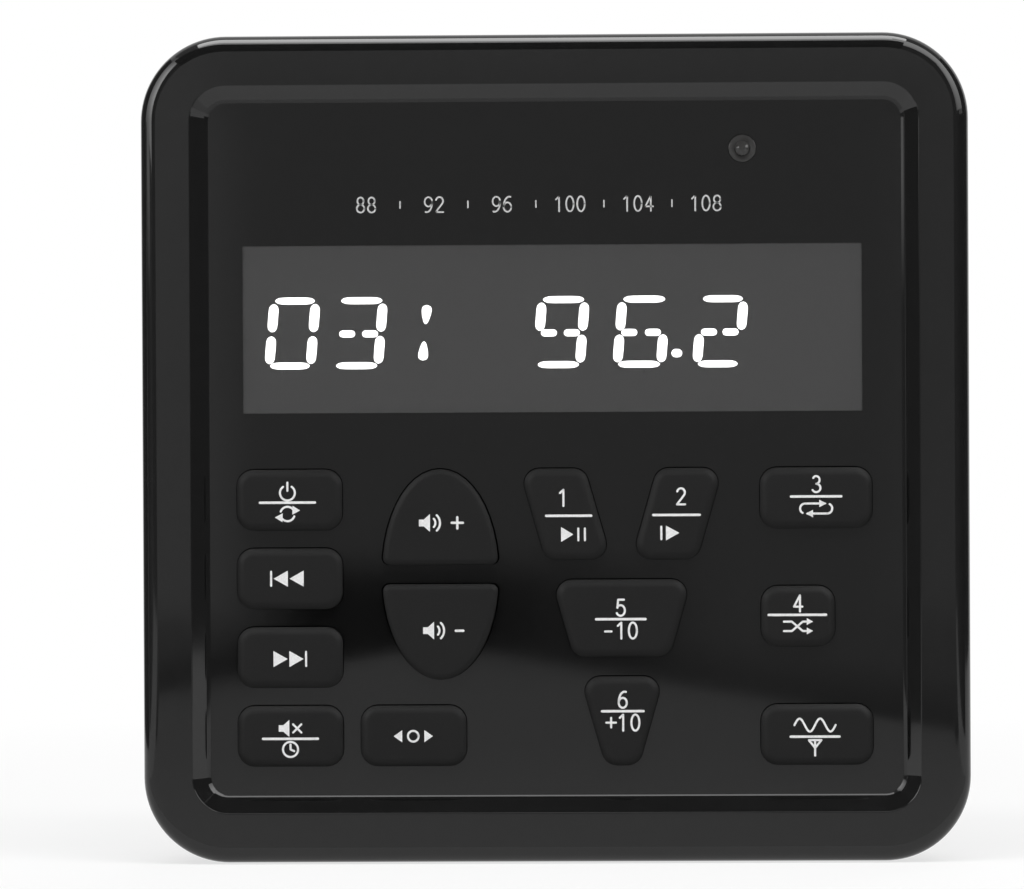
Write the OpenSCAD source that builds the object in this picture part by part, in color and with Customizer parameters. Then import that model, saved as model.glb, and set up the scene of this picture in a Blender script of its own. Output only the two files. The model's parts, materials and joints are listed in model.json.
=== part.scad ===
// Square flush-mount marine stereo. A push-on trim frame surrounds a glossy face panel with a
// display and soft keys, and a sealed body sits behind the dash. Millimetres.
// Pieces are drawn in the plane of the face: x to the right, y up, z out of the dash towards
// the user, with z = 0 at the dash surface. They are then stood up so that the face looks along -Y.

/* [Trim frame] */
// Width and height of the square trim frame
frame_w = 116; // [105:0.5:128]
// Outer corner radius of the trim frame
frame_corner_r = 12; // [11:0.5:14]
// Rounding of the frame's front outer edge
frame_edge_r = 2.2; // [1:0.1:3]
// Width of the flat rim, from the frame's outer edge to the bevel
rim_w = 6.95; // [6.5:0.05:7.4]
// Width of the bevel that slopes down to the face panel
bevel_w = 2.45; // [2:0.05:2.8]
// Height of the rim above the face panel
bevel_h = 2.4; // [1.6:0.1:4]
// Thickness of the frame's side wall
frame_wall = 2; // [1.5:0.1:2.4]
// Gap between the frame's back edge and the dash
frame_lift = 0.4; // [0.2:0.1:1]
// Radius of the push-in pegs that hold the frame on
peg_r = 1.2; // [1:0.05:1.3]
// Distance of each peg from the middle of its side
peg_spread = 26; // [15:1:34]
// Depth to which a peg enters the flange
peg_depth = 2; // [1.5:0.1:2.4]

/* [Face panel] */
// Thickness of the face panel
panel_t = 2; // [1.6:0.1:3]
// How far the panel runs under the frame's lip
panel_lap = 1.6; // [1.2:0.1:1.8]
// Radius of the screw bosses on the panel's back
boss_r = 2; // [1.9:0.05:2.1]

/* [Display] */
// Width of the display window
window_w = 86.9; // [78:0.1:96]
// Height of the display window
window_h = 23.5; // [20:0.1:25]
// Sideways place of the display window's centre
window_x = -0.4; // [-0.8:0.1:0.4]
// Height of the display window's centre above the face's centre
window_y = 16.8; // [15.5:0.1:20]
// Width of the lens flange behind the panel
lens_lap = 1.2; // [0.8:0.1:1.3]
// Thickness of the lens flange
lens_flange_t = 1; // [0.8:0.1:1.5]
// Thickness of the LCD glass
lcd_t = 1.8; // [1.4:0.1:2.4]
// Thickness of the light guide behind the LCD
guide_t = 2; // [1.6:0.1:3]
// Width of the LCD holder's rim
holder_w = 1; // [0.8:0.1:1.1]

/* [Infrared eye] */
// Radius of the infrared window
eye_r = 2; // [1.5:0.1:2.5]
// Sideways place of the infrared window
eye_x = 26.4; // [18:0.1:31]
// Distance of the infrared window's centre below the top edge of the visible panel
eye_drop = 6.7; // [6.5:0.1:9.5]

/* [Keys] */
// Corner radius of the keys
key_r = 2.2; // [1.6:0.1:2.4]
// Rounding of the keys' front edges
key_edge_r = 0.7; // [0.4:0.05:1]
// How far the keys stand out of the panel
key_rise = 1.2; // [0.9:0.1:2]
// Gap between a key and the edge of its opening
key_gap = 0.25; // [0.15:0.05:0.4]
// Width of the lip that keeps a key behind the panel
key_lip = 0.7; // [0.5:0.05:0.8]
// Thickness of that lip
key_lip_t = 1; // [0.6:0.1:1.2]
// Travel of a key
key_travel = 1; // [0.6:0.1:1.2]
// Space between the left key column and the left edge of the visible panel
left_margin = 4; // [3.6:0.1:5]
// Space between the right key column and the right edge of the visible panel
right_margin = 4.4; // [3.6:0.1:5]
// Space between the bottom key row and the lower edge of the visible panel
bottom_margin = 4.27; // [3.8:0.01:6]
// Space between the display window and the top key row
key_drop = 8; // [6:0.01:10]
// Gap between the key rows
row_gap = 2.85; // [2:0.01:4]
// Gap between the left key column and the volume oval
left_gap = 5.75; // [4.5:0.05:8]
// Gap between the preset funnel and the right key column
right_gap = 5.5; // [4.5:0.05:8]
// Width of the fourth preset key
preset_4_w = 10; // [9:0.1:12]
// Inset of the fourth preset key from the left edge of the wide keys
preset_4_inset = 0.1; // [0:0.1:3]
// Gap between the mute key and the select key beside it
select_gap = 2.8; // [2.4:0.1:4]

/* [Volume keys] */
// Sideways place of the oval volume pair's centre
volume_x = -16.2; // [-16.8:0.1:-15.4]
// Half width of the oval
volume_half_w = 8.15; // [7:0.05:8.4]
// Gap between the oval and the select key below it
oval_gap = 3.92; // [2.4:0.01:8]
// Gap between the two halves of the oval
volume_gap = 3.05; // [2.6:0.05:4]
// Corner radius of the two halves
oval_key_r = 0.8; // [0.8:0.1:2.2]

/* [Preset funnel] */
// Sideways place of the funnel's centre line
funnel_x = 9.2; // [8.8:0.1:10]
// Half width of the funnel at the top of its first row
funnel_top_half = 14.1; // [13:0.1:14.2]
// Half width of the funnel at the bottom of its last row
funnel_bottom_half = 2.2; // [2.2:0.05:3]
// Width of each of the two slanting keys in the funnel's first row
slant_key_w = 8.9; // [8:0.05:9.4]
// Height of the first row of the funnel
funnel_row_1_h = 12.5; // [12:0.1:12.9]
// Height of the second row of the funnel
funnel_row_2_h = 10.5; // [10:0.1:10.9]
// Gap between the rows of the funnel
funnel_gap = 3.1; // [2.6:0.05:3.2]
// Corner radius of the funnel's keys
funnel_key_r = 2; // [1.4:0.1:2.2]

/* [Flange and body] */
// Thickness of the flange
flange_t = 3; // [2.8:0.1:4]
// Thickness of the gasket under the flange
gasket_t = 1.5; // [1:0.1:2]
// Height of the deck that carries the panel above the flange
deck_h = 2.6; // [2:0.1:4]
// How far the frame reaches past the body on each side
overhang = 10; // [9.6:0.1:10.2]
// Outer corner radius of the body
body_corner_r = 8; // [7:0.5:8]
// Wall thickness of the body
body_wall = 2; // [1.6:0.1:2.2]
// Depth of the body tube behind the dash
tube_depth = 37; // [34:1:60]
// Radius of the mounting screw holes
screw_hole_r = 1.7; // [1.5:0.1:1.8]
// Distance of the mounting screws from the frame's outer edges
screw_inset = 7.5; // [7.3:0.1:7.7]

/* [Rear plate] */
// Thickness of the rear plate
rear_t = 3; // [2.5:0.1:4]
// Thickness of the seal under the rear plate
seal_t = 1; // [0.8:0.1:1.5]
// Height of the cooling fins
fin_h = 5; // [3:0.5:10]
// Thickness of a cooling fin
fin_t = 1.6; // [1.2:0.1:2]
// Spacing of the cooling fins
fin_pitch = 6; // [5:0.25:6.5]
// Number of cooling fins
fin_count = 13; // [5:2:13]
// Length of the cooling fins
fin_length = 44; // [30:1:46]
// Bore radius of the wiring gland
wiring_bore_r = 5; // [3:0.1:6]
// Bore radius of the two lead glands
lead_bore_r = 2.6; // [1.5:0.1:3.5]
// Wall thickness of a gland's sleeve
gland_wall = 2; // [1.5:0.1:2.5]

/* [Boards] */
// Thickness of a circuit board
board_t = 1.6; // [1.2:0.1:2]
// Thickness of the keypad mat
mat_t = 1.2; // [0.8:0.1:1.3]
// Width and height of the main board
main_board_w = 78; // [74:1:80]
// Length of the posts that carry the main board
post_h = 14; // [12:0.5:15]

/* [Hidden] */
$fn = 64;

// Running clearance between pieces that are pushed together
fit = 0.3;
// Clearance between a pressed piece and its seat
snug = 0.05;

// Half sizes of the squares that the face is built from
frame_half = frame_w / 2;
corner_centre = frame_half - frame_corner_r;
face_half = frame_half - rim_w - bevel_w;
flange_half = frame_half - frame_wall - fit;
panel_half = face_half + panel_lap;
body_half = frame_half - overhang;
cavity_half = body_half - body_wall;
screw_at = frame_half - screw_inset;

// Height of the infrared window on the face
eye_y = face_half - eye_drop;

// Heights in front of the dash, from the gasket out to the rim
flange_back = gasket_t;
flange_front = flange_back + flange_t;
flange_middle = flange_back + flange_t / 2;
panel_back = flange_front + deck_h;
panel_front = panel_back + panel_t;
rim_front = panel_front + bevel_h;
panel_middle = panel_back + panel_t / 2;
rim_middle = panel_front + bevel_h / 2;
key_front = panel_front + key_rise;

// Heights of the stack behind the panel, from the lens back to the front board
lens_back = panel_back - lens_flange_t;
guide_front = lens_back - lcd_t;
board_front = guide_front - guide_t;
board_back = board_front - board_t;
mat_front = board_front + mat_t;
pad_t = 0.1;
pad_front = board_front + pad_t;
pill_t = 0.4;
pill_r = 1.6;
lamp_w = 1.6;
pill_back = pad_front + key_travel + 2 * snug;
stem_back = pill_back + pill_t;
lip_front = panel_back - snug;
lip_back = lip_front - key_lip_t;

// Heights behind the dash
tube_back = -tube_depth;
plate_front = tube_back - seal_t;
plate_back = plate_front - rear_t;
plate_middle = plate_front - rear_t / 2;
main_back = plate_front + post_h;
main_front = main_back + board_t;

// Screw heads in the corners need this room in the deck and the panel
screw_head_r = 2.9;
notch_r = screw_head_r + fit;
// Corner radius of the opening in the deck, which clears the keys
deck_corner_r = 3.5;
// The pegs stand midway between the deck and the flange's edge
peg_at = (panel_half + flange_half) / 2;

// Small self-tapping screws for the boards and the rear plate
shank_r = 1.15;
pilot_r = shank_r + snug;
board_hole_r = shank_r + fit;
head_r = 2.1;
head_h = 1.5;
recess_w = 0.8;
recess_l = 2.9;
shank_l = 5.5;
shank_root = 0.5;

// Posts that carry the main board, near its corners
post_inset = 7;
post_r = 3;
post_at = main_board_w / 2 - post_inset;
board_corner_r = body_corner_r - body_wall;

// Bosses for the rear plate's screws, in the corners of the body
rear_boss_inset = 3.4;
rear_boss_r = 3;
rear_boss_l = 9;
rear_screw_at = cavity_half - rear_boss_inset;

// The amplifier chip, and the block on the rear plate that cools it
chip_w = 20;
chip_h = 14;
chip_t = 4;
chip_place = [-14, 20];
thermal_pad_t = 0.5;

// Other pieces on the main board's front
ribbon_place = [8, -22];
ribbon_w = 20;
ribbon_t = 0.3;
ribbon_bow = 2;
socket_end = 1;
socket_w = ribbon_w + 2 * socket_end;
socket_h = 4;
socket_t = 5;
processor_place = [-4, 0];
processor_w = 12;
processor_t = 1.2;
capacitor_place = [-28, 22];
capacitor_count = 3;
capacitor_r = 5;
capacitor_h = 12;
capacitor_gap = 2;
capacitor_pitch = 2 * capacitor_r + capacitor_gap;
choke_place = [-24, 4];
choke_r = 5;
choke_wire_r = 2.4;
tuner_place = [20, 16];
tuner_size = [30, 22, 8];
wireless_place = [-22, -16];
wireless_size = [20, 14, 2.6];
wireless_shield = [14, 12];

// The fins end below the heads of the rear plate's upper screws
fin_top_gap = 4.5;
fin_y = rear_screw_at - head_r - fin_top_gap - fin_length / 2;

// Places of the three glands, in a row above the rear plate's lower edge
gland_inset = 19;
gland_y = gland_inset - body_half;
wiring_x = -14;
data_x = 5;
aerial_x = 18;
gland_rim = 1.6;
gland_rim_t = 2;
GLANDS = [[wiring_x, wiring_bore_r], [data_x, lead_bore_r], [aerial_x, lead_bore_r]];

// How finely the oval and the keys' round corners are drawn
oval_steps = 20;
arc_step = 18;

// Growth and height of each ring of a key with corners of radius r, from its foot over its lip to its
// face. The rounding of the front edge takes no more than a share of the corners' radius
edge_steps = 3;
edge_share = 0.9;
function key_rings(r) =
  let(edge = min(key_edge_r, edge_share * r))
  concat(
    [[0, stem_back], [0, lip_back], [key_lip, lip_back], [key_lip, lip_front], [0, lip_front]],
    [
      for (i = [0 : edge_steps])
        let(a = 90 * i / edge_steps)
        [edge * (cos(a) - 1), key_front - edge * (1 - sin(a))]
    ]
  );

// Signs of a square's corners, clockwise from its lower left
CORNERS = [[-1, -1], [-1, 1], [1, 1], [1, -1]];

// Corner centres of a rectangle with round corners, in the same order
function rect_centres(w, h, r, at = [0, 0]) =
  [for (s = CORNERS) at + [s.x * (w / 2 - r), s.y * (h / 2 - r)]];

// Corner centres of a trapezium that lies between two heights, from its edges' x at each height
function slant_centres(low, high, low_edges, high_edges, r) =
  let(
    lean_left = atan2(high_edges[0] - low_edges[0], high - low),
    lean_right = atan2(high_edges[1] - low_edges[1], high - low),
    left = function(y) low_edges[0] + (y - low) * tan(lean_left) + r / cos(lean_left),
    right = function(y) low_edges[1] + (y - low) * tan(lean_right) - r / cos(lean_right)
  )
  [
    [left(low + r), low + r],
    [left(high - r), high - r],
    [right(high - r), high - r],
    [right(low + r), low + r],
  ];

// Corner centres of the upper half of the volume oval, clockwise; side is -1 for the lower half
function oval_centres(side) =
  let(
    a = volume_half_w - oval_key_r,
    b = volume_half_h - oval_key_r,
    start = asin((volume_gap / 2 + oval_key_r) / b),
    step = (180 - 2 * start) / oval_steps,
    upper = [for (i = [0 : oval_steps]) [-a * cos(start + i * step), b * sin(start + i * step)]]
  )
  [for (p = upper) [volume_x + side * p.x, volume_y + side * p.y]];

// Rows of keys fill the height between the display window and the lower margin
row_count = 4;
rows_top = window_y - window_h / 2 - key_drop;
rows_low = -(face_half - bottom_margin);
key_h = (rows_top - rows_low - (row_count - 1) * row_gap) / row_count;
row_pitch = key_h + row_gap;
function row_y(i) = rows_top - key_h / 2 - i * row_pitch;

// Key columns fill the width between the side margins and the oval or the funnel
left_side = face_half - left_margin;
right_side = face_half - right_margin;
key_w = left_side + volume_x - volume_half_w - left_gap;
wide_key_w = right_side - funnel_x - funnel_top_half - right_gap;
left_x = key_w / 2 - left_side;
select_x = left_x + key_w + select_gap;
right_x = right_side - wide_key_w / 2;
preset_4_x = right_side - wide_key_w + preset_4_inset + preset_4_w / 2;
preset_4_y = (rows_top + rows_low) / 2;

// The volume oval stands between the top of the key rows and the select key
volume_low = rows_low + key_h + oval_gap;
volume_half_h = (rows_top - volume_low) / 2;
volume_y = volume_low + volume_half_h;

// The funnel is as high as the key rows: the tops of its lower rows, its half width at a height,
// and the edges of its keys there
row_2_top = rows_top - funnel_row_1_h - funnel_gap;
row_3_top = row_2_top - funnel_row_2_h - funnel_gap;
funnel_slope = (funnel_top_half - funnel_bottom_half) / (rows_top - rows_low);
function funnel_half(y) = funnel_bottom_half + funnel_slope * (y - rows_low);
left_edges = function(y) [funnel_x - funnel_half(y), funnel_x - funnel_half(y) + slant_key_w];
right_edges = function(y) [funnel_x + funnel_half(y) - slant_key_w, funnel_x + funnel_half(y)];
full_edges = function(y) [funnel_x - funnel_half(y), funnel_x + funnel_half(y)];

// A key is a list: its name, the centres of its round corners, their radius, and its pill's place
function plain_key(name, at, w) = [name, rect_centres(w, key_h, key_r, at), key_r, at];
function oval_key(name, side) =
  [name, oval_centres(side), oval_key_r, [volume_x, volume_y + side * volume_half_h / 2]];
function funnel_key(name, top, low, edges) =
  let(middle = (top + low) / 2, at = edges(middle))
  [name, slant_centres(low, top, edges(low), edges(top), funnel_key_r), funnel_key_r,
    [(at[0] + at[1]) / 2, middle]];

KEYS = [
  plain_key("power", [left_x, row_y(0)], key_w),
  plain_key("previous", [left_x, row_y(1)], key_w),
  plain_key("next", [left_x, row_y(2)], key_w),
  plain_key("mute", [left_x, row_y(3)], key_w),
  plain_key("select", [select_x, row_y(3)], key_w),
  oval_key("volume_up", 1),
  oval_key("volume_down", -1),
  funnel_key("preset_1", rows_top, rows_top - funnel_row_1_h, left_edges),
  funnel_key("preset_2", rows_top, rows_top - funnel_row_1_h, right_edges),
  plain_key("preset_3", [right_x, row_y(0)], wide_key_w),
  plain_key("preset_4", [preset_4_x, preset_4_y], preset_4_w),
  funnel_key("preset_5", row_2_top, row_2_top - funnel_row_2_h, full_edges),
  funnel_key("preset_6", row_3_top, rows_low, full_edges),
  plain_key("band", [right_x, row_y(3)], wide_key_w),
];

// Places of the bosses that carry the front board, above the display and between the keys
boss_inset = 7;
boss_corner = cavity_half - boss_inset;
boss_places = [
  [-boss_corner, boss_corner],
  [boss_corner, boss_corner],
  [left_x + key_w / 2 + key_lip + fit + boss_r, volume_y - row_pitch],
  [funnel_x - funnel_top_half, (row_y(2) + row_y(3)) / 2],
  [funnel_x + funnel_top_half, (row_y(2) + row_y(3)) / 2],
];

// Stand a piece that is drawn in the plane of the face upright, with its front along -Y
module upright() {
  rotate([90, 0, 0]) children();
}

// A flat outline as a solid between two heights in front of the dash
module slab(low, high) {
  translate([0, 0, low]) linear_extrude(high - low) children();
}

// Unit normal on the outer side of the edge from p to q of a clockwise outline
function edge_normal(p, q) = [p.y - q.y, q.x - p.x] / norm(q - p);

// Carry a section, drawn as distance out and height, round the given centres, clockwise
module carry_round(centres) {
  n = len(centres);
  for (i = [0 : n - 1]) {
    p = centres[i];
    after = centres[(i + 1) % n];
    turn_in = edge_normal(centres[(i + n - 1) % n], p);
    turn_out = edge_normal(p, after);
    translate(p) rotate(atan2(after.y - p.y, after.x - p.x)) rotate([90, 0, 90])
      linear_extrude(norm(after - p)) children();
    translate(p) rotate(atan2(turn_out.y, turn_out.x))
      rotate_extrude(angle = acos(turn_in * turn_out)) children();
  }
}

// Rectangle with round corners
module round_rect(w, h, r) {
  difference() {
    square([w, h], center = true);
    for (s = CORNERS) translate([s.x * (w / 2 - r), s.y * (h / 2 - r)]) difference() {
      translate(s * (r + fit) / 2) square(r + fit, center = true);
      circle(r);
    }
  }
}

// Square slab with round corners, from its half size and corner radius
module square_slab(half, r, low, high) {
  slab(low, high) round_rect(2 * half, 2 * half, r);
}

// Points of a convex outline with round corners of radius r about the given centres, clockwise
function outline(centres, r) =
  let(n = len(centres))
  [
    for (i = [0 : n - 1])
      let(
        turn_in = edge_normal(centres[(i + n - 1) % n], centres[i]),
        turn_out = edge_normal(centres[i], centres[(i + 1) % n]),
        turn = acos(turn_in * turn_out),
        steps = ceil(turn / arc_step)
      )
      for (s = [0 : steps])
        let(a = atan2(turn_in.y, turn_in.x) - turn * s / steps)
        centres[i] + r * [cos(a), sin(a)]
  ];

// Solid through a stack of grown outlines, each given as [growth, height], from back to front
module ringed_solid(centres, r, rings) {
  n = len(outline(centres, r));
  last = len(rings) - 1;
  points = [for (ring = rings, p = outline(centres, r + ring[0])) [p.x, p.y, ring[1]]];
  sides = [
    for (j = [0 : last - 1], i = [0 : n - 1])
      [j * n + i, j * n + (i + 1) % n, (j + 1) * n + (i + 1) % n, (j + 1) * n + i]
  ];
  back = [for (i = [n - 1 : -1 : 0]) i];
  front = [for (i = [0 : n - 1]) last * n + i];
  polyhedron(points, concat(sides, [back, front]));
}

// A key's outline, grown by the given width, as a slab between two heights
module key_slab(k, growth, low, high) {
  slab(low, high) polygon(outline(k[1], k[2] + growth));
}

// The same shape at each corner of a square
module at_corners(at) {
  for (s = CORNERS) translate(s * at) children();
}

// The same shape at each peg of the trim frame
module at_pegs() {
  for (turn = [0, 90, 180, 270], s = [-1, 1])
    rotate(turn) translate([peg_at, s * peg_spread]) children();
}

// Pan-head screw with a cross recess: its head ends at z = 0 and its shank points along +z
module small_screw(length) {
  difference() {
    translate([0, 0, -head_h]) cylinder(h = head_h, r = head_r);
    for (turn = [0, 90])
      rotate(turn) translate([0, 0, -head_h]) cube([recess_l, recess_w, 2 * recess_w], center = true);
  }
  translate([0, 0, -shank_root]) cylinder(h = shank_root + length, r = shank_r);
}

// Section of the trim frame: distance out from the corner centre, and height above the dash
module frame_section() {
  lip = frame_corner_r - rim_w - bevel_w;
  difference() {
    polygon([
      [lip, panel_front],
      [lip + bevel_w, rim_front],
      [frame_corner_r, rim_front],
      [frame_corner_r, frame_lift],
      [frame_corner_r - frame_wall, frame_lift],
      [frame_corner_r - frame_wall, panel_front],
    ]);
    translate([frame_corner_r - frame_edge_r, rim_front - frame_edge_r]) difference() {
      square(frame_edge_r + fit);
      circle(frame_edge_r);
    }
  }
}

module trim_frame() {
  color("#26282b") upright() {
    carry_round(rect_centres(2 * frame_half, 2 * frame_half, frame_corner_r)) frame_section();
    at_pegs() slab(flange_front - peg_depth, rim_middle) circle(peg_r);
  }
}

module front_panel() {
  color("#151618") upright() {
    difference() {
      square_slab(panel_half, panel_half - corner_centre, panel_back, panel_front);
      at_corners(screw_at) slab(panel_back - fit, panel_front + fit) circle(notch_r);
      for (k = KEYS) key_slab(k, key_gap, panel_back - fit, panel_front + fit);
      translate([window_x, window_y]) slab(panel_back - fit, panel_front + fit)
        square([window_w, window_h], center = true);
      translate([eye_x, eye_y]) slab(panel_back - fit, panel_front + fit) circle(eye_r);
    }
    for (b = boss_places) translate(b) slab(board_front, panel_middle) difference() {
      circle(boss_r);
      circle(pilot_r);
    }
  }
}

module display_lens() {
  color("#3c4044") upright() translate([window_x, window_y]) {
    slab(lens_back, panel_front) square([window_w - 2 * snug, window_h - 2 * snug], center = true);
    slab(lens_back, panel_back) square([window_w + 2 * lens_lap, window_h + 2 * lens_lap], center = true);
  }
}

// Outline of the LCD glass, inside its holder
module lcd_outline(inset) {
  square(
    [window_w + 2 * (lens_lap - holder_w - inset), window_h + 2 * (lens_lap - holder_w - inset)],
    center = true
  );
}

module lcd_glass() {
  color("#4a5650") upright() translate([window_x, window_y]) slab(guide_front, lens_back) lcd_outline(snug);
}

module light_guide() {
  color("#e8ebe4") upright() translate([window_x, window_y]) slab(board_front, guide_front) lcd_outline(snug);
}

module lcd_holder() {
  color("#d7d8d2") upright() translate([window_x, window_y]) slab(board_front, lens_back) difference() {
    square([window_w + 2 * lens_lap, window_h + 2 * lens_lap], center = true);
    lcd_outline(0);
  }
}

// The eye's window: a short plug with a low dome and a flange behind the panel
module ir_window() {
  plug_r = eye_r - snug;
  dome_r = 4;
  dome_sink = sqrt(dome_r * dome_r - plug_r * plug_r);
  color("#2b1014") upright() translate([eye_x, eye_y]) {
    slab(lens_back, panel_back) circle(eye_r + lens_lap);
    intersection() {
      slab(lens_back, rim_front) circle(plug_r);
      translate([0, 0, panel_front - dome_sink]) sphere(dome_r);
    }
  }
}

module ir_receiver() {
  package_w = 5;
  package_h = 4;
  color("#1b1b1d") upright() translate([eye_x, eye_y])
    slab(board_front, lens_back - snug) square([package_w, package_h], center = true);
}

module keypad_mat() {
  mat_top = window_y - window_h / 2 - lens_lap - fit;
  color("#5a5d60") upright() difference() {
    square_slab(cavity_half - fit, deck_corner_r, board_front, mat_front);
    translate([-frame_half, mat_top]) slab(board_front - fit, mat_front + fit) square([frame_w, frame_half]);
    for (k = KEYS) key_slab(k, key_gap, board_front - fit, mat_front + fit);
    for (b = boss_places) translate(b) slab(board_front - fit, mat_front + fit) circle(boss_r + fit);
  }
}

module front_board() {
  color("#1f5a36") upright() difference() {
    square_slab(cavity_half - fit, board_corner_r, board_back, board_front);
    for (b = boss_places) translate(b) slab(board_back - fit, board_front + fit) circle(board_hole_r);
  }
}

// The carbon contact pair under each key
module contact_pads() {
  color("#3a3a38") upright() for (k = KEYS) translate(k[3]) slab(board_front, pad_front) difference() {
    circle(pill_r);
    square([2 * pill_r + fit, fit], center = true);
  }
}

// Lamps that light the keys, beside their contact pads
module key_lamps() {
  color("#f2efd8") upright() for (k = KEYS)
    translate(k[3] + [pill_r + fit + lamp_w / 2, 0]) slab(board_front, board_front + pill_t)
      square([lamp_w, lamp_w / 2], center = true);
}

// The deck that carries the panel, the flange and the body tube, with room for the display
module front_housing() {
  color("#202225") upright() difference() {
    union() {
      square_slab(panel_half, panel_half - corner_centre, flange_middle, panel_back);
      square_slab(flange_half, flange_half - corner_centre, flange_back, flange_front);
      square_slab(body_half, body_corner_r, tube_back, flange_middle);
    }
    difference() {
      union() {
        square_slab(cavity_half, deck_corner_r, flange_back, panel_back + fit);
        square_slab(cavity_half, body_corner_r - body_wall, tube_back - fit, flange_back);
      }
      at_corners(rear_screw_at) slab(tube_back - 2 * fit, tube_back + rear_boss_l) circle(rear_boss_r);
    }
    translate([window_x, window_y]) slab(board_front, panel_back + fit)
      square([window_w + 2 * (lens_lap + fit), window_h + 2 * (lens_lap + fit)], center = true);
    at_corners(rear_screw_at) slab(tube_back - fit, tube_back + rear_boss_l) circle(pilot_r);
    at_corners(screw_at) slab(flange_back - fit, flange_front + fit) circle(screw_hole_r);
    at_corners(screw_at) slab(flange_front, panel_back + fit) circle(notch_r);
    at_pegs() slab(flange_front - peg_depth - fit, flange_front + fit) circle(peg_r + fit / 2);
  }
}

module flange_gasket() {
  color("#2e2f30") upright() difference() {
    square_slab(flange_half, flange_half - corner_centre, 0, flange_back);
    square_slab(body_half + fit, body_corner_r + fit, -fit, flange_back + fit);
    at_corners(screw_at) slab(-fit, flange_back + fit) circle(screw_hole_r);
  }
}

module board_screws() {
  color("silver") upright() for (b = boss_places)
    translate([b.x, b.y, board_back]) small_screw(shank_l);
}

module main_board() {
  color("#1f5a36") upright() difference() {
    square_slab(main_board_w / 2, board_corner_r, main_back, main_front);
    at_corners(post_at) slab(main_back - fit, main_front + fit) circle(board_hole_r);
  }
}

module main_board_screws() {
  color("silver") upright() at_corners(post_at)
    translate([0, 0, main_front]) rotate([180, 0, 0]) small_screw(shank_l);
}

// Sockets for the ribbon cable, on the back of the front board and the front of the main board
module ribbon_sockets() {
  color("#e9e4d0") upright() translate(ribbon_place) {
    slab(board_back - socket_h, board_back) square([socket_w, socket_t], center = true);
    slab(main_front, main_front + socket_h) square([socket_w, socket_t], center = true);
  }
}

// Ribbon cable between the sockets, bowed on an arc
module ribbon_cable() {
  low = main_front + socket_h;
  high = board_back - socket_h;
  half = (high - low) / 2;
  bow_r = (half * half + ribbon_bow * ribbon_bow) / (2 * ribbon_bow);
  color("#d8d8d8") upright() translate([ribbon_place.x - ribbon_w / 2, ribbon_place.y, low + half])
    rotate([90, 0, 90]) linear_extrude(ribbon_w) intersection() {
      translate([bow_r - ribbon_bow, 0]) difference() {
        circle(bow_r);
        circle(bow_r - ribbon_t);
      }
      translate([-ribbon_bow - ribbon_t, -half]) square([2 * ribbon_bow + ribbon_t, 2 * half]);
    }
}

module amplifier_chip() {
  color("#1a1a1c") upright() translate(chip_place)
    slab(main_back - chip_t, main_back) square([chip_w, chip_h], center = true);
}

module thermal_pad() {
  color("#b9bcc0") upright() translate(chip_place)
    slab(main_back - chip_t - thermal_pad_t, main_back - chip_t) square([chip_w, chip_h], center = true);
}

module processor_chip() {
  color("#1a1a1c") upright() translate(processor_place)
    slab(main_front, main_front + processor_t) square(processor_w, center = true);
}

module capacitors() {
  color("#2a3a66") upright() for (i = [0 : capacitor_count - 1])
    translate(capacitor_place + [i * capacitor_pitch, 0])
      slab(main_front, main_front + capacitor_h) circle(capacitor_r);
}

// Power choke: a wound ring that lies on the main board
module choke() {
  color("#b36a2e") upright() translate([choke_place.x, choke_place.y, main_front + choke_wire_r])
    rotate_extrude() translate([choke_r, 0]) circle(choke_wire_r);
}

module tuner_can() {
  color("#b8bbbe") upright() translate(tuner_place)
    slab(main_front, main_front + tuner_size.z) square([tuner_size.x, tuner_size.y], center = true);
}

// Wireless module: a small board with a shield on it
module wireless_module() {
  color("#20407a") upright() translate(wireless_place) {
    slab(main_front, main_front + board_t / 2) square([wireless_size.x, wireless_size.y], center = true);
    slab(main_front, main_front + wireless_size.z)
      square([wireless_shield.x, wireless_shield.y], center = true);
  }
}

// Rear plate with fins outside, and inside it the main board's posts and the amplifier's block
module rear_plate() {
  color("#8d9196") upright() {
    difference() {
      square_slab(body_half, body_corner_r, plate_back, plate_front);
      at_corners(rear_screw_at) slab(plate_back - fit, plate_front + fit) circle(board_hole_r);
      for (g = GLANDS) translate([g[0], gland_y]) slab(plate_back - fit, plate_front + fit)
        circle(g[1] + gland_wall + snug);
    }
    for (i = [0 : fin_count - 1])
      translate([(i - (fin_count - 1) / 2) * fin_pitch, fin_y])
        slab(plate_back - fin_h, plate_middle) square([fin_t, fin_length], center = true);
    at_corners(post_at) slab(plate_middle, main_back) difference() {
      circle(post_r);
      circle(pilot_r);
    }
    translate(chip_place) slab(plate_middle, main_back - chip_t - thermal_pad_t)
      square([chip_w, chip_h], center = true);
  }
}

module rear_seal() {
  color("#2e2f30") upright() difference() {
    square_slab(body_half - snug, body_corner_r - snug, plate_front, tube_back);
    square_slab(cavity_half + snug, body_corner_r - body_wall + snug, plate_front - fit, tube_back + fit);
  }
}

module rear_screws() {
  color("silver") upright() at_corners(rear_screw_at)
    translate([0, 0, plate_back]) small_screw(rear_t + seal_t + shank_l);
}

// Rubber gland: a sleeve through the rear plate with a rim on each side of it
module gland(x, bore_r) {
  sleeve_r = bore_r + gland_wall;
  color("#2a2b2c") upright() translate([x, gland_y, 0]) rotate_extrude() {
    translate([bore_r, plate_back - gland_rim_t])
      square([gland_wall, rear_t + 2 * gland_rim_t]);
    for (low = [plate_back - gland_rim_t, plate_front])
      translate([bore_r, low]) square([sleeve_r + gland_rim - bore_r, gland_rim_t]);
  }
}

module wiring_gland() {
  gland(wiring_x, wiring_bore_r);
}

module data_gland() {
  gland(data_x, lead_bore_r);
}

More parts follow.
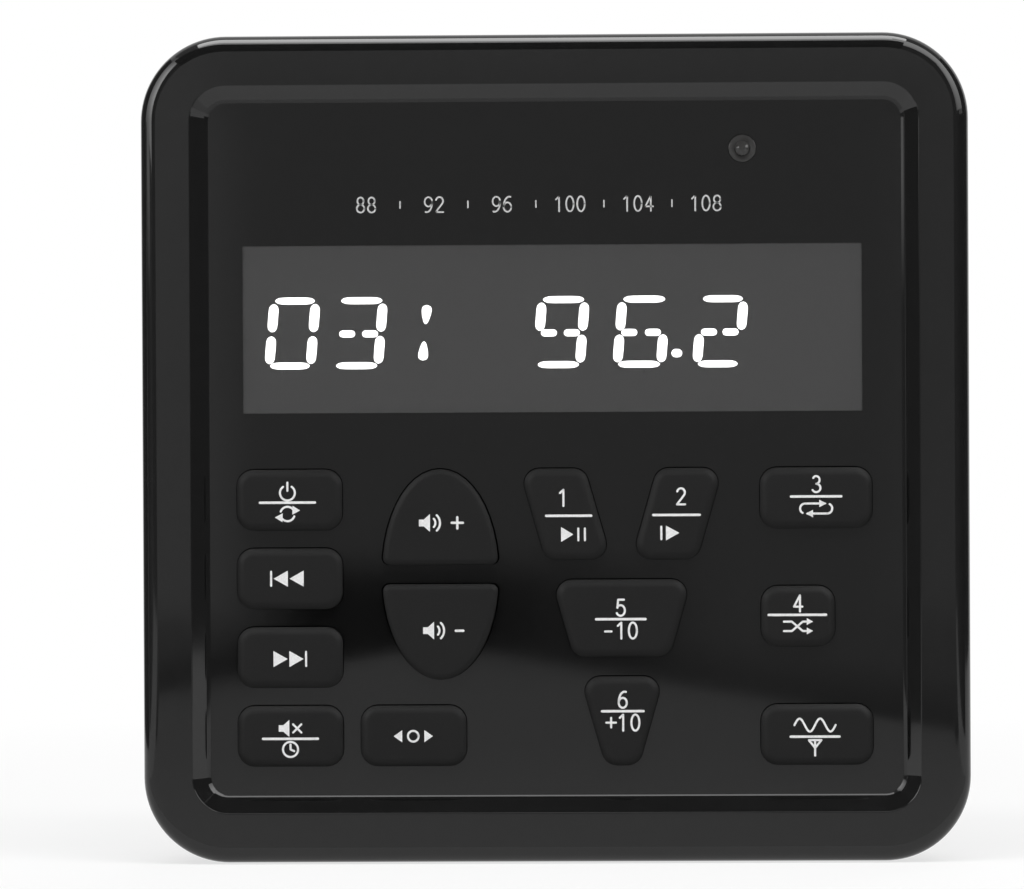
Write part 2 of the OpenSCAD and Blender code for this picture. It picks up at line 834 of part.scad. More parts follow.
module aerial_gland() {
  gland(aerial_x, lead_bore_r);
}

// A soft key: rounded cap, stem behind the panel, and the lip that keeps it in its opening
module key(k) {
  color("#24262a") upright() ringed_solid(k[1], k[2], key_rings(k[2]));
}

// The contact pill on a key's foot
module pill(k) {
  color("#111111") upright() translate(k[3]) slab(pill_back, stem_back) circle(pill_r);
}

trim_frame();
front_panel();
display_lens();
lcd_glass();
lcd_holder();
light_guide();
ir_window();
ir_receiver();
keypad_mat();
front_board();
contact_pads();
key_lamps();
front_housing();
flange_gasket();
board_screws();
main_board();
main_board_screws();
ribbon_sockets();
ribbon_cable();
amplifier_chip();
thermal_pad();
processor_chip();
capacitors();
choke();
tuner_can();
wireless_module();
rear_plate();
rear_seal();
rear_screws();
wiring_gland();
data_gland();
aerial_gland();
for (k = KEYS) key(k);
for (k = KEYS) pill(k);
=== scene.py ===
# %% [markdown]
# # Dressing a marine stereo
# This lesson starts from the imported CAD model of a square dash-mounted stereo and gives it its
# looks. The CAD says where every piece is and how it moves. Blender adds the softened edges, the
# printed marks, the lit display and the finishes. The frame is loaded first and is never moved.

# %% Load the frame
import json
import bmesh
import bpy
import numpy as np
from mathutils import Matrix, Vector


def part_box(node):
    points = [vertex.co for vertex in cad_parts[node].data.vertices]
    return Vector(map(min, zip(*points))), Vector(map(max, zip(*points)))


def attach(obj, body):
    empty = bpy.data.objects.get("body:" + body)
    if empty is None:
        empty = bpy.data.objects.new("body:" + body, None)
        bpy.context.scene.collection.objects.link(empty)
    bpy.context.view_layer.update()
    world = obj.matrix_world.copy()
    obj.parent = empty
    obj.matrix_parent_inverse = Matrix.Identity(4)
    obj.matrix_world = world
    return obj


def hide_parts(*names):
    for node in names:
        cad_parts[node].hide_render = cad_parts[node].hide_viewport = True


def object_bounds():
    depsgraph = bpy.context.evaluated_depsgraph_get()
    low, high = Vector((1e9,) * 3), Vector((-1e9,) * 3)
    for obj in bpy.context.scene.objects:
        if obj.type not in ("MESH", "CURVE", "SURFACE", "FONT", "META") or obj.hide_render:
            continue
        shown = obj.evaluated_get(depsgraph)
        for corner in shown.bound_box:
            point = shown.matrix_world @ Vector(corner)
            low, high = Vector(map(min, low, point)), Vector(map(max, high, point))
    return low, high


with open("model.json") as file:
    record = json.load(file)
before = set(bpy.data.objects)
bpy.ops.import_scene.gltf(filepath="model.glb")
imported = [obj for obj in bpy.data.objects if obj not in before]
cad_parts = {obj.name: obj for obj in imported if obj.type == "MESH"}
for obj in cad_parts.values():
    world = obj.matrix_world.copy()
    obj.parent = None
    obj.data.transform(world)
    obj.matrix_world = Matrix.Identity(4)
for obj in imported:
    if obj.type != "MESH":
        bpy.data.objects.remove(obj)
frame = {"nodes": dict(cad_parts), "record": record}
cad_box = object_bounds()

MM = 0.001


def span(node):
    """Lowest and highest corner of a CAD node's box, as (x, z, height) in mm."""
    low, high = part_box(node)
    return np.array([low.x, low.z, -high.y]) / MM, np.array([high.x, high.z, -low.y]) / MM


# %% [markdown]
# ## The camera
# A product photograph of a flat face is taken with a long lens from nearly straight ahead. A camera
# could be aimed at the face by eye and nudged. Here it is worked out from a few facts read off the
# picture: the pixel at which the middle of the face lies, the size of a pixel on the face, and how
# far the view is turned. The aim is then exact, and each fact can be changed by itself.

# %% Camera
PICTURE = np.array([1024.0, 889.0])
FACE_PIXEL = np.array([555.3, 448.1])
MM_PER_PIXEL, CAMERA_DISTANCE, SENSOR = 0.1403, 900.0, 36.0
FROM_RIGHT, FROM_ABOVE, ROLL = np.radians([1.3, 0.5, 0.29])
PANEL_FRONT = span("front_panel")[1][2]


def unit(v):
    """The vector divided by its length."""
    return v / np.linalg.norm(v)


focal_pixels = CAMERA_DISTANCE / MM_PER_PIXEL
face_middle = np.array([0.0, -PANEL_FRONT, 0.0])
back = np.array([np.sin(FROM_RIGHT) * np.cos(FROM_ABOVE),
                 -np.cos(FROM_RIGHT) * np.cos(FROM_ABOVE), np.sin(FROM_ABOVE)])
level = unit(np.cross(-back, [0, 0, 1]))
upright = np.cross(level, -back)
right = np.cos(ROLL) * level - np.sin(ROLL) * upright
up = np.cos(ROLL) * upright + np.sin(ROLL) * level
off = (FACE_PIXEL - PICTURE / 2) / focal_pixels
ahead = unit(-back - off[0] * right + off[1] * up)
right = unit(right - ahead * (right @ ahead))
up = np.cross(right, ahead)
camera_data = bpy.data.cameras.new("camera")
camera_data.sensor_fit, camera_data.sensor_width = "HORIZONTAL", SENSOR
camera_data.lens = focal_pixels * SENSOR / PICTURE[0]
camera = bpy.data.objects.new("camera", camera_data)
bpy.context.scene.collection.objects.link(camera)
axes = np.eye(4)
axes[:3, 0], axes[:3, 1], axes[:3, 2] = right, up, -ahead
axes[:3, 3] = (face_middle + back * CAMERA_DISTANCE) * MM
camera.matrix_world = Matrix(axes)
bpy.context.scene.camera = camera
print("lens", round(camera_data.lens, 1), "mm at", CAMERA_DISTANCE, "mm")

# %% [markdown]
# ## From a grid of points to a piece
# Every new piece is one or more grids of points. They are worked out in the plane of the face, in
# millimetres: x to the right, z up, and the height out of the dash. A mesh could be built face by
# face, but a grid needs no bookkeeping: each point is joined to its next row and its next column.
# Points that meet at a seam or a pole are then merged, which closes the shell.

# %% Pieces from grids
MERGE, SLIVER = 1e-7, 1e-8
looks = {}


def quads(rows, columns, first):
    """Corners of a grid's faces: a point, its neighbour in the row, and the same two a row on."""
    at = first + np.arange(rows * columns).reshape(rows, columns)
    return np.stack([at[:-1, :-1], at[:-1, 1:], at[1:, 1:], at[1:, :-1]], axis=-1).reshape(-1, 4)


def piece(name, grids, body, slot, replaces=(), look=None, sharp=40):
    """One object from grids of (x, z, height) points in mm, with doubles merged and its faces
    outward. look is a finish other than its slot's."""
    points = np.concatenate([np.asarray(g, float).reshape(-1, 3) for g in grids])
    starts = np.cumsum([0] + [g.shape[0] * g.shape[1] for g in grids])
    faces = np.concatenate([quads(g.shape[0], g.shape[1], s) for g, s in zip(grids, starts)])
    mesh = bpy.data.meshes.new(name)
    mesh.from_pydata((points[:, [0, 2, 1]] * [MM, -MM, MM]).tolist(), [], faces.tolist())
    shell = bmesh.new()
    shell.from_mesh(mesh)
    bmesh.ops.remove_doubles(shell, verts=shell.verts, dist=MERGE)
    bmesh.ops.dissolve_degenerate(shell, edges=shell.edges, dist=SLIVER)
    bmesh.ops.recalc_face_normals(shell, faces=shell.faces)
    shell.to_mesh(mesh)
    shell.free()
    mesh.polygons.foreach_set("use_smooth", np.ones(len(mesh.polygons), bool))
    mesh.set_sharp_from_angle(angle=np.radians(sharp))
    made = bpy.data.objects.new(name, mesh)
    bpy.context.scene.collection.objects.link(made)
    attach(made, body)
    if replaces:
        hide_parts(*replaces)
    looks[made.name] = look or slot
    return made


# %% [markdown]
# ## Outlines and sections
# Most of this object is a section carried round an outline: the trim frame, the keys, the lens. An
# outline is kept as two lists, the corner centre that each point turns about and the direction in
# which it faces. Pushing every point out along its direction gives the outline at any size.

# %% Outlines and sections
CORNERS = np.array([[-1, -1], [1, -1], [1, 1], [-1, 1]])


def around(centres, steps, side_steps):
    """Outline round corner centres, anticlockwise: (centre, outward direction) of each point.
    A corner turns evenly from the normal of the side before it to that of the side after it, and
    along a side the centre moves evenly from one corner to the next."""
    c = np.asarray(centres, float)
    side = np.roll(c, -1, axis=0) - c
    normal = np.arctan2(-side[:, 0], side[:, 1])
    before = np.roll(normal, 1)
    turn = (normal - before) % (2 * np.pi)
    bend = before[:, None] + turn[:, None] * np.linspace(0, 1, steps + 1)
    along = np.linspace(0, 1, side_steps + 2)[1:-1]
    on_side = c[:, None] + side[:, None] * along[None, :, None]
    about = np.concatenate([np.repeat(c[:, None], steps + 1, axis=1), on_side], axis=1)
    angle = np.concatenate([bend, np.repeat(normal[:, None], side_steps, axis=1)], axis=1)
    about, angle = about.reshape(-1, 2), angle.reshape(-1)
    about, angle = np.append(about, about[:1], axis=0), np.append(angle, angle[:1])
    return about, np.stack([np.cos(angle), np.sin(angle)], axis=1)


def carry(section, outline):
    """Grid of a section carried round an outline: row k is the outline pushed out by section[k, 0],
    at the height section[k, 1]."""
    about, outward = outline
    flat = about[None] + section[:, 0, None, None] * outward[None]
    height = np.broadcast_to(section[:, 1, None, None], flat.shape[:2] + (1,))
    return np.concatenate([flat, height], axis=2)


def draw_in(ring, middle, shares, height):
    """Rows of a ring drawn in towards a middle, all at one height: in row k each point keeps
    shares[k] of its way out."""
    flat = middle + np.asarray(shares)[:, None, None] * (ring[:, :2] - middle)
    return np.concatenate([flat, np.full(flat.shape[:2] + (1,), height)], axis=2)


def soften(corners, radii, steps=6, closed=True):
    """Section with its corners rounded: each corner becomes a curve from r before it to r after it,
    the weighted mean of its two ends and the corner itself."""
    p = np.asarray(corners, float)
    r = np.broadcast_to(np.asarray(radii, float), len(p))
    to_last, to_next = np.roll(p, 1, axis=0) - p, np.roll(p, -1, axis=0) - p
    enter = p + to_last * (r / np.linalg.norm(to_last, axis=1))[:, None]
    leave = p + to_next * (r / np.linalg.norm(to_next, axis=1))[:, None]
    if not closed:
        enter[0] = leave[0] = p[0]
        enter[-1] = leave[-1] = p[-1]
    t = np.linspace(0, 1, steps + 1)[None, :, None]
    w = np.sqrt(0.5)
    weights = (1 - t) ** 2, 2 * w * t * (1 - t), t**2
    curve = weights[0] * enter[:, None] + weights[1] * p[:, None] + weights[2] * leave[:, None]
    curve = (curve / sum(weights)).reshape(-1, 2)
    return np.append(curve, curve[:1], axis=0) if closed else curve


def square_centres(half_w, half_h, at=(0, 0)):
    """Corner centres of a rectangle, anticlockwise from its lower left."""
    return np.array(at) + CORNERS * [half_w, half_h]


def turned(section, at, steps):
    """Grid of a section of (radius, height) turned once round an axis that stands at (x, z)."""
    a = np.linspace(0, 2 * np.pi, steps + 1)
    reach = section[:, 0, None]
    height = np.broadcast_to(section[:, 1, None], (len(section), steps + 1))
    return np.stack([at[0] + reach * np.cos(a), at[1] + reach * np.sin(a), height], axis=-1)


# %% [markdown]
# ## The trim frame
# The frame is a gloss moulding that pushes on over the mounting screws. Its section has a flat rim,
# a wide rounding outside and a bevel down to the face, where a curved lip catches the light, and
# eight pegs behind hold it on. It could be a bevelled square with a hole. Carrying the section
# round keeps every edge's rounding even, which matters because a gloss surface shows its edges only
# by what they reflect. An extra row at each end of the rim and of the bevel keeps their shading
# truly flat.

# %% Trim frame
frame_low, frame_high = span("trim_frame")
FRAME_HALF, RIM_FRONT, FRAME_BACK = frame_high[0], frame_high[2], frame_low[2]
FRAME_CORNER, RIM_W, BEVEL_W, FRAME_WALL, FRAME_EDGE = 12.0, 6.95, 2.45, 2.0, 2.2
LIP_EDGE, FACET_W, FACET_RISE, LIP_CURVE, RIM_EDGE, HAIR = 0.05, 0.34, 0.2, 0.36, 0.1, 0.02
BACK_EDGE, WALL_EDGE, ROOF_EDGE, HOLD = 0.4, 0.3, 0.5, 1.3
PEG_R, PEG_AT, PEG_SPREAD, PEG_TIP, PEG_ROOT, PEG_NOSE = 1.2, 52.95, 26.0, 2.5, 1.0, 0.4

corner_at = FRAME_HALF - FRAME_CORNER
lip = FRAME_CORNER - RIM_W - BEVEL_W
wall = FRAME_CORNER - FRAME_WALL
under = PANEL_FRONT + HAIR
facet = np.array([lip + FACET_W, under + LIP_EDGE + FACET_RISE])
rim_in, rim_out = np.array([lip + BEVEL_W, RIM_FRONT]), np.array([FRAME_CORNER, RIM_FRONT])
held = HOLD * RIM_EDGE
frame_section = soften(
    [(lip, under), (lip, under + LIP_EDGE), facet, rim_in - held * unit(rim_in - facet), rim_in,
     rim_in + [held, 0], rim_out - [FRAME_EDGE + held, 0], rim_out, (FRAME_CORNER, FRAME_BACK),
     (wall, FRAME_BACK), (wall, under)],
    [HAIR, HAIR, LIP_CURVE, 0, RIM_EDGE, 0, 0, FRAME_EDGE, BACK_EDGE, WALL_EDGE, ROOF_EDGE], 16)
frame_grid = carry(frame_section, around(square_centres(corner_at, corner_at), 24, 12))
peg_root = under + PEG_ROOT
peg_section = soften([(0, PEG_TIP), (PEG_R, PEG_TIP), (PEG_R, peg_root), (0, peg_root)],
                     [0, PEG_NOSE, RIM_EDGE, 0], closed=False)
peg_places = [(s * PEG_SPREAD, t * PEG_AT) for s in (-1, 1) for t in (-1, 1)]
peg_places += [(z, x) for x, z in peg_places]
trim = piece("trim_frame_shell", [frame_grid] + [turned(peg_section, p, 20) for p in peg_places],
             "trim", "frame_gloss", ["trim_frame"])
print("trim frame faces:", len(trim.data.polygons))

# %% [markdown]
# ## The keys
# Each key is a soft moulding that comes through the panel, with a lip behind that keeps it in. Its
# face is very slightly crowned and runs into the sides with a soft edge. A cube with a bevel would
# give the plain keys but not the slanted ones or the two halves of the oval, so all fourteen share
# one formula: an outline from corner centres, a section for the sides, and a crown on the face.

# %% Outlines of the keys
KEY_LIP, KEY_R, OVAL_R, FUNNEL_R = 0.7, 2.2, 0.8, 2.0
FUNNEL_X, FUNNEL_TOP_HALF, FUNNEL_LOW_HALF, SLANT_KEY_W = 9.2, 14.1, 2.2, 8.9
VOLUME_GAP, OVAL_STEPS = 3.05, 20


def key_box(key):
    """Lowest and highest (x, z) of a key's visible part, in mm: its CAD box without the lip."""
    low, high = span("key_" + key)
    return low[:2] + KEY_LIP, high[:2] - KEY_LIP


def plain_centres(key):
    """Corner centres of a rectangular key."""
    low, high = key_box(key)
    half = (high - low) / 2 - KEY_R
    return square_centres(*half, at=(low + high) / 2)


def oval_centres(side):
    """Corner centres of half the volume oval: points of an inner ellipse, cut off at the gap."""
    low, high = key_box("volume_down")[0], key_box("volume_up")[1]
    a, b = (high - low) / 2 - OVAL_R
    start = np.arcsin((VOLUME_GAP / 2 + OVAL_R) / b)
    t = np.linspace(start, np.pi - start, OVAL_STEPS + 1)
    return (low + high) / 2 + side * np.stack([a * np.cos(t), b * np.sin(t)], axis=1)


def funnel_centres(key, on_left, on_right):
    """Corner centres of a key in the funnel of presets. The funnel's half width falls evenly from
    its top to its foot. An edge of the key lies on the funnel's side, or a key's width from the
    other edge."""
    top, foot = key_box("preset_1")[1][1], key_box("preset_6")[0][1]
    low, high = key_box(key)[0][1], key_box(key)[1][1]
    z = np.array([low, high])
    half = FUNNEL_LOW_HALF + (FUNNEL_TOP_HALF - FUNNEL_LOW_HALF) * (z - foot) / (top - foot)
    left = FUNNEL_X - half if on_left else FUNNEL_X + half - SLANT_KEY_W
    right = FUNNEL_X + half if on_right else FUNNEL_X - half + SLANT_KEY_W
    lean = [(e[1] - e[0]) / (high - low) for e in (left, right)]
    inset = [FUNNEL_R * np.hypot(1, s) for s in lean]
    ends = np.array([FUNNEL_R, high - low - FUNNEL_R])
    xl, xr = left[0] + lean[0] * ends + inset[0], right[0] + lean[1] * ends - inset[1]
    z = low + ends
    return np.array([[xl[0], z[0]], [xr[0], z[0]], [xr[1], z[1]], [xl[1], z[1]]])


PLAIN_KEYS = ["power", "previous", "next", "mute", "select", "preset_3", "preset_4", "band"]
FUNNEL_KEYS = {"preset_1": (True, False), "preset_2": (False, True), "preset_5": (True, True),
               "preset_6": (True, True)}
key_shapes = {k: (plain_centres(k), KEY_R) for k in PLAIN_KEYS}
key_shapes["volume_up"] = oval_centres(1), OVAL_R
key_shapes["volume_down"] = oval_centres(-1), OVAL_R
key_shapes.update({k: (funnel_centres(k, *on), FUNNEL_R) for k, on in FUNNEL_KEYS.items()})
print("key outlines:", len(key_shapes))

# %% Key mouldings
KEY_BACK, KEY_FRONT = (corner[2] for corner in span("key_power"))
LIP_BACK, LIP_FRONT = 6.05, 7.05
EDGE_ACROSS, EDGE_SHARE, EDGE_DROP, CROWN, SNUG, SAG = 1.15, 0.9, 0.55, 0.14, 0.15, 0.06
SIDE_RADII = [0, 0.1, 0.25, 0.25, 0.15, 0]


def crown(key, x, z):
    """Fall of a key's face below its middle: the crown times the squared distance from the middle,
    each way as a share of the key's half size."""
    low, high = key_box(key)
    middle, half = (low + high) / 2, (high - low) / 2
    return -CROWN * (((x - middle[0]) / half[0]) ** 2 + ((z - middle[1]) / half[1]) ** 2) / 2


def key_grid(key):
    """Rows from the middle of a key's foot out round its lip, up its side, over its edge and in to
    the middle of its crowned face. The edge falls with the square of the way out across it, and
    is no wider than a share of the corners' radius. The sides stand a little further out than the
    solid's and the key hangs a hair low, so a fine line is left round it, widest above."""
    centres, r = key_shapes[key]
    outline = around(centres, *((3, 1) if len(centres) > 4 else (10, 8)))
    across = min(EDGE_ACROSS, EDGE_SHARE * (r + SNUG))
    drop = EDGE_DROP * across / EDGE_ACROSS
    side = soften([(0, KEY_BACK), (0, LIP_BACK), (KEY_LIP, LIP_BACK), (KEY_LIP, LIP_FRONT),
                   (0, LIP_FRONT), (0, KEY_FRONT - drop)], SIDE_RADII, 3, False)
    out = np.linspace(1, 0, 9)[1:]
    edge = np.stack([across * (out - 1), KEY_FRONT - drop * out**2], axis=1)
    rows = carry(np.concatenate([side, edge]) + [r + SNUG, 0], outline)
    middle = centres.mean(axis=0)
    rows = np.concatenate([draw_in(rows[0], middle, [0, 0.5], KEY_BACK), rows,
                           draw_in(rows[-1], middle, out, KEY_FRONT)])
    rows[..., 2] += crown(key, rows[..., 0], rows[..., 1]) * (rows[..., 2] > LIP_FRONT)
    return rows - [0, SAG, 0]


keys = {k: piece("keycap_" + k, [key_grid(k)], "button_" + k, "key_silicone", ["key_" + k])
        for k in key_shapes}
print("keys:", len(keys), "faces in all:", sum(len(k.data.polygons) for k in keys.values()))

# %% [markdown]
# ## The display lens and the infrared window
# The lens is a smoked plate set flush in the panel, with a flange behind that is glued to it. The
# infrared window is a small dark moulding with a rounded rim and a bulb in its middle. The lens
# could be kept as the CAD has it, and so could the eye, but made here the lens shades as one clean
# plane and the eye's bulb is round enough for a small glint.

# %% Lens and infrared window
LENS_GAP, FLANGE_W, FLANGE_T = 0.2, 1.25, 1.0
lens_low, lens_high = span("display_lens")
lens_middle = (lens_low + lens_high)[:2] / 2
lens_half = (lens_high - lens_low)[:2] / 2 - FLANGE_W
LCD_FRONT = span("lcd_glass")[1][2]
lens_back, flange_front = LCD_FRONT + LENS_GAP, LCD_FRONT + FLANGE_T
lens_section = np.array([(FLANGE_W, lens_back), (FLANGE_W, flange_front), (0, flange_front),
                         (0, PANEL_FRONT)])
lens_rows = carry(lens_section, around(square_centres(*lens_half, at=lens_middle), 2, 20))
lens_foot = draw_in(lens_rows[0], lens_middle, [0.0], lens_back)
lens_face = draw_in(lens_rows[-1], lens_middle, [0.0], PANEL_FRONT)
lens = piece("lens_plate", [np.concatenate([lens_foot, lens_rows, lens_face])], "body",
             "smoked_lens", ["display_lens"], sharp=20)

EYE_R, EYE_FLANGE_R, EYE_BULB_R, EYE_EDGE = 2.0, 3.2, 1.15, 0.25
EYE_BACK, EYE_SEAT, EYE_DIP, EYE_RIM, EYE_TOP = 6.1, 7.05, 9.02, 9.12, 9.9
eye_at = sum(span("ir_window"))[:2] / 2
eye_section = soften(
    [(0, EYE_BACK), (EYE_FLANGE_R, EYE_BACK), (EYE_FLANGE_R, EYE_SEAT), (EYE_R, EYE_SEAT),
     (EYE_R, EYE_RIM), (EYE_BULB_R, EYE_DIP)], [0, 0.1, 0.1, 0.05, EYE_EDGE, 0], 5, False)
t = np.linspace(0, np.pi / 2, 12)
bulb = np.stack([EYE_BULB_R * np.cos(t), EYE_DIP + (EYE_TOP - EYE_DIP) * np.sin(t)], axis=1)
eye = piece("infrared_eye", [turned(np.concatenate([eye_section, bulb]), eye_at, 64)], "body",
            "ir_lens", ["ir_window"])
print("lens and eye faces:", len(lens.data.polygons), len(eye.data.polygons))

# %% [markdown]
# ## Printed marks
# The keys carry white printed marks. Plain numbers and the common signs for play, mute, loop and so
# on are drawn here as flat ribbons: a path, a half width at each point of it, and round ends.
# Blender could set type, but a ribbon can also follow the crown of its key, so the print lies on
# the face.

# %% Ribbons
CAP_STEPS = 5


def stroke(path, half):
    """Centre and half-width vector of each row of a ribbon along a path. Round ends are rows of a
    half circle. A ribbon whose half width is given point by point has flat ends instead."""
    p = np.asarray(path, float)
    along = np.gradient(p, axis=0)
    along /= np.linalg.norm(along, axis=1)[:, None]
    if np.ndim(half):
        h = np.asarray(half, float)
        ends = np.zeros((1, 1))
        first, last = p[:1], p[-1:]
    else:
        h = np.full(len(p), float(half))
        a = np.linspace(0, np.pi / 2, CAP_STEPS + 1)[:-1, None]
        ends = half * np.sin(a)
        first = p[0] - along[0] * half * np.cos(a)
        last = p[-1] + along[-1] * half * np.cos(a)[::-1]
    centre = np.concatenate([first, p, last])
    h = np.concatenate([ends[:, 0], h, ends[::-1, 0]])
    along = np.concatenate([np.repeat(along[:1], len(first), 0), along,
                            np.repeat(along[-1:], len(last), 0)])
    return centre, h[:, None] * np.stack([-along[:, 1], along[:, 0]], axis=1)


def plate(ribbon, top, depth):
    """Grid of a ribbon as a thin solid: across each row its left and right edges, low and high.
    top gives the height of the surface at (x, z)."""
    centre, across = ribbon
    left, right = centre + across, centre - across
    sides = np.stack([left, left, right, right, left], axis=1)
    height = top(sides[..., 0], sides[..., 1]) - depth * np.array([1, 0, 0, 1, 1])
    return np.concatenate([sides, height[..., None]], axis=2)


def line(x0, z0, x1, z1):
    """Straight path of two points."""
    return np.array([[x0, z0], [x1, z1]], float)


def arc(x, z, rx, rz, start, end, steps=20):
    """Path along an ellipse between two angles in degrees."""
    a = np.radians(np.linspace(start, end, steps + 1))
    return np.stack([x + rx * np.cos(a), z + rz * np.sin(a)], axis=1)


# %% [markdown]
# ## Numerals and signs
# A numeral is a few lines and arcs in a box one unit high, and so is a sign. Filled shapes such as
# a play triangle are ribbons whose width changes along the path. A row of numerals is set side by
# side at an even step and centred on its place.

# %% Numerals and signs
PEN, POINT, NUMERAL_W, NUMERAL_STEP = 0.145, 0.001, 0.5, 0.74


def arrow(x0, z0, x1, z1, half):
    """Filled triangle from its base to its point: a ribbon that narrows to nothing."""
    return line(x0, z0, x1, z1), (half, POINT)


def wedge(x0, x1, half):
    """A level arrow."""
    return arrow(x0, 0, x1, 0, half)


def lines(*paths):
    """Paths that take the pen's own half width."""
    return [(p, None) for p in paths]


NUMERALS = {
    "0": lines(arc(0.25, 0.5, 0.25, 0.5, 0, 360, 40)),
    "1": lines(line(0.06, 0.8, 0.27, 1), line(0.27, 1, 0.27, 0)),
    "2": lines(np.append(arc(0.25, 0.74, 0.24, 0.26, 165, -38), [[0, 0]], axis=0),
               line(0, 0, 0.5, 0)),
    "3": lines(arc(0.23, 0.76, 0.21, 0.24, 150, -90), arc(0.23, 0.26, 0.26, 0.26, 90, -150)),
    "4": lines(line(0.37, 1, 0, 0.3), line(0, 0.3, 0.52, 0.3), line(0.37, 1, 0.37, 0)),
    "5": lines(line(0.44, 1, 0.08, 1), line(0.08, 1, 0.04, 0.5),
               arc(0.23, 0.33, 0.27, 0.33, 140, -150)),
    "6": lines(arc(0.25, 0.31, 0.25, 0.31, 0, 360, 32), arc(0.37, 0.34, 0.37, 0.66, 180, 78)),
    "8": lines(arc(0.25, 0.76, 0.21, 0.24, 0, 360, 32), arc(0.25, 0.26, 0.25, 0.26, 0, 360, 32)),
    "9": lines(arc(0.25, 0.69, 0.25, 0.31, 0, 360, 32), arc(0.13, 0.66, 0.37, 0.66, 0, -102)),
    "+": lines(line(0, 0.5, 0.6, 0.5), line(0.3, 0.2, 0.3, 0.8)),
    "-": lines(line(0, 0.45, 0.4, 0.45)),
}
swing = np.linspace(-2, 2, 49)
SIGNS = {
    "power": lines(arc(0, -0.06, 0.42, 0.42, 125, 415, 30), line(0, 0.52, 0, 0.06)),
    "cycle": lines(arc(0, 0, 0.42, 0.42, 30, 160), arc(0, 0, 0.42, 0.42, 210, 340))
    + [arrow(0.52, 0.34, 0.28, -0.04, 0.26), arrow(-0.52, -0.34, -0.28, 0.04, 0.26)],
    "previous": lines(line(-1.0, 0.42, -1.0, -0.42))
    + [wedge(0, -0.85, 0.48), wedge(0.95, 0.1, 0.48)],
    "next": lines(line(1.0, 0.42, 1.0, -0.42)) + [wedge(0, 0.85, 0.48), wedge(-0.95, -0.1, 0.48)],
    "speaker": [([[-0.62, 0], [-0.36, 0], [-0.35, 0], [0, 0]], (0.19, 0.19, 0.19, 0.5))],
    "waves": lines(arc(0.06, 0, 0.24, 0.3, -50, 50), arc(0.06, 0, 0.5, 0.56, -50, 50)),
    "cross": lines(line(0.22, 0.24, 0.7, -0.24), line(0.22, -0.24, 0.7, 0.24)),
    "clock": lines(arc(0, 0, 0.46, 0.46, 0, 360, 40), line(0, 0.3, 0, 0), line(0, 0, 0.22, -0.1)),
    "select": lines(arc(0, 0, 0.3, 0.3, 0, 360, 30))
    + [wedge(0.62, 1.1, 0.34), wedge(-0.62, -1.1, 0.34)],
    "play_pause": [wedge(-0.75, 0, 0.45)]
    + lines(line(0.3, 0.36, 0.3, -0.36), line(0.7, 0.36, 0.7, -0.36)),
    "intro": lines(line(-0.6, 0.38, -0.6, -0.38)) + [wedge(-0.32, 0.5, 0.45)],
    "repeat": lines(line(-0.7, 0.32, 0.55, 0.32), arc(-0.7, 0, 0.32, 0.32, 90, 240),
                    line(-0.55, -0.32, 0.7, -0.32), arc(0.7, 0, 0.32, 0.32, 60, -90))
    + [arrow(0.2, 0.32, 0.66, 0.32, 0.24), arrow(-0.2, -0.32, -0.66, -0.32, 0.24)],
    "shuffle": lines(*(part for s in (1, -1) for part in (
        line(-0.9, 0.3 * s, -0.4, 0.3 * s), line(-0.4, 0.3 * s, 0.3, -0.3 * s),
        line(0.3, -0.3 * s, 0.6, -0.3 * s))))
    + [arrow(0.55, 0.3, 0.95, 0.3, 0.22), arrow(0.55, -0.3, 0.95, -0.3, 0.22)],
    "wave": lines(np.stack([0.6 * swing, 0.38 * np.sin(np.pi * swing)], axis=1)),
    "aerial": lines(line(0, 0.48, 0, -0.5), line(-0.4, 0.48, 0.4, 0.48),
                    line(-0.4, 0.48, 0, -0.02), line(0.4, 0.48, 0, -0.02)),
}


def sign(names, at, size):
    """Ribbons of a sign, or of a few that belong together, centred on a place."""
    return [stroke(np.array(at) + size * np.asarray(p), PEN if h is None else size * np.asarray(h))
            for part in names.split() for p, h in SIGNS[part]]


def number(text, at, size, pen=PEN, step=NUMERAL_STEP):
    """Ribbons of a row of numerals centred on a place, each one step on from the last."""
    left = -((len(text) - 1) * step + NUMERAL_W) / 2
    return [stroke(np.array(at) + size * (p + [left + i * step, -0.5]), pen)
            for i, c in enumerate(text) for p, _ in NUMERALS[c]]


print("numerals and signs:", len(NUMERALS), len(SIGNS))

# %% [markdown]
# ## Setting the keys
# Most keys carry two rows with a bar between, as printed keypads often do. The rows' places and the
# bar's length are the print's own sizes in millimetres. The print follows each key's crown and
# moves with the key when it is pressed. Above the display, a plain tuner scale is printed on the
# panel.

# %% Marks on the keys
ROW, BAR, INK_LIFT, INK_DEPTH = 2.25, 0.175, 0.012, 0.08
VOLUME_SIZE, VOLUME_PEN, WIDE_STEP = 2.6, 0.17, 0.78


def bar(x, z, length):
    """The bar between two rows of marks, in short steps so that it bends with the crown."""
    along = x + length * np.linspace(-0.5, 0.5, 17)
    return [stroke(np.stack([along, 0 * along + z], axis=1), BAR)]


def level_at(height):
    """A flat surface for a print to lie on."""
    return lambda x, z: height + 0 * x


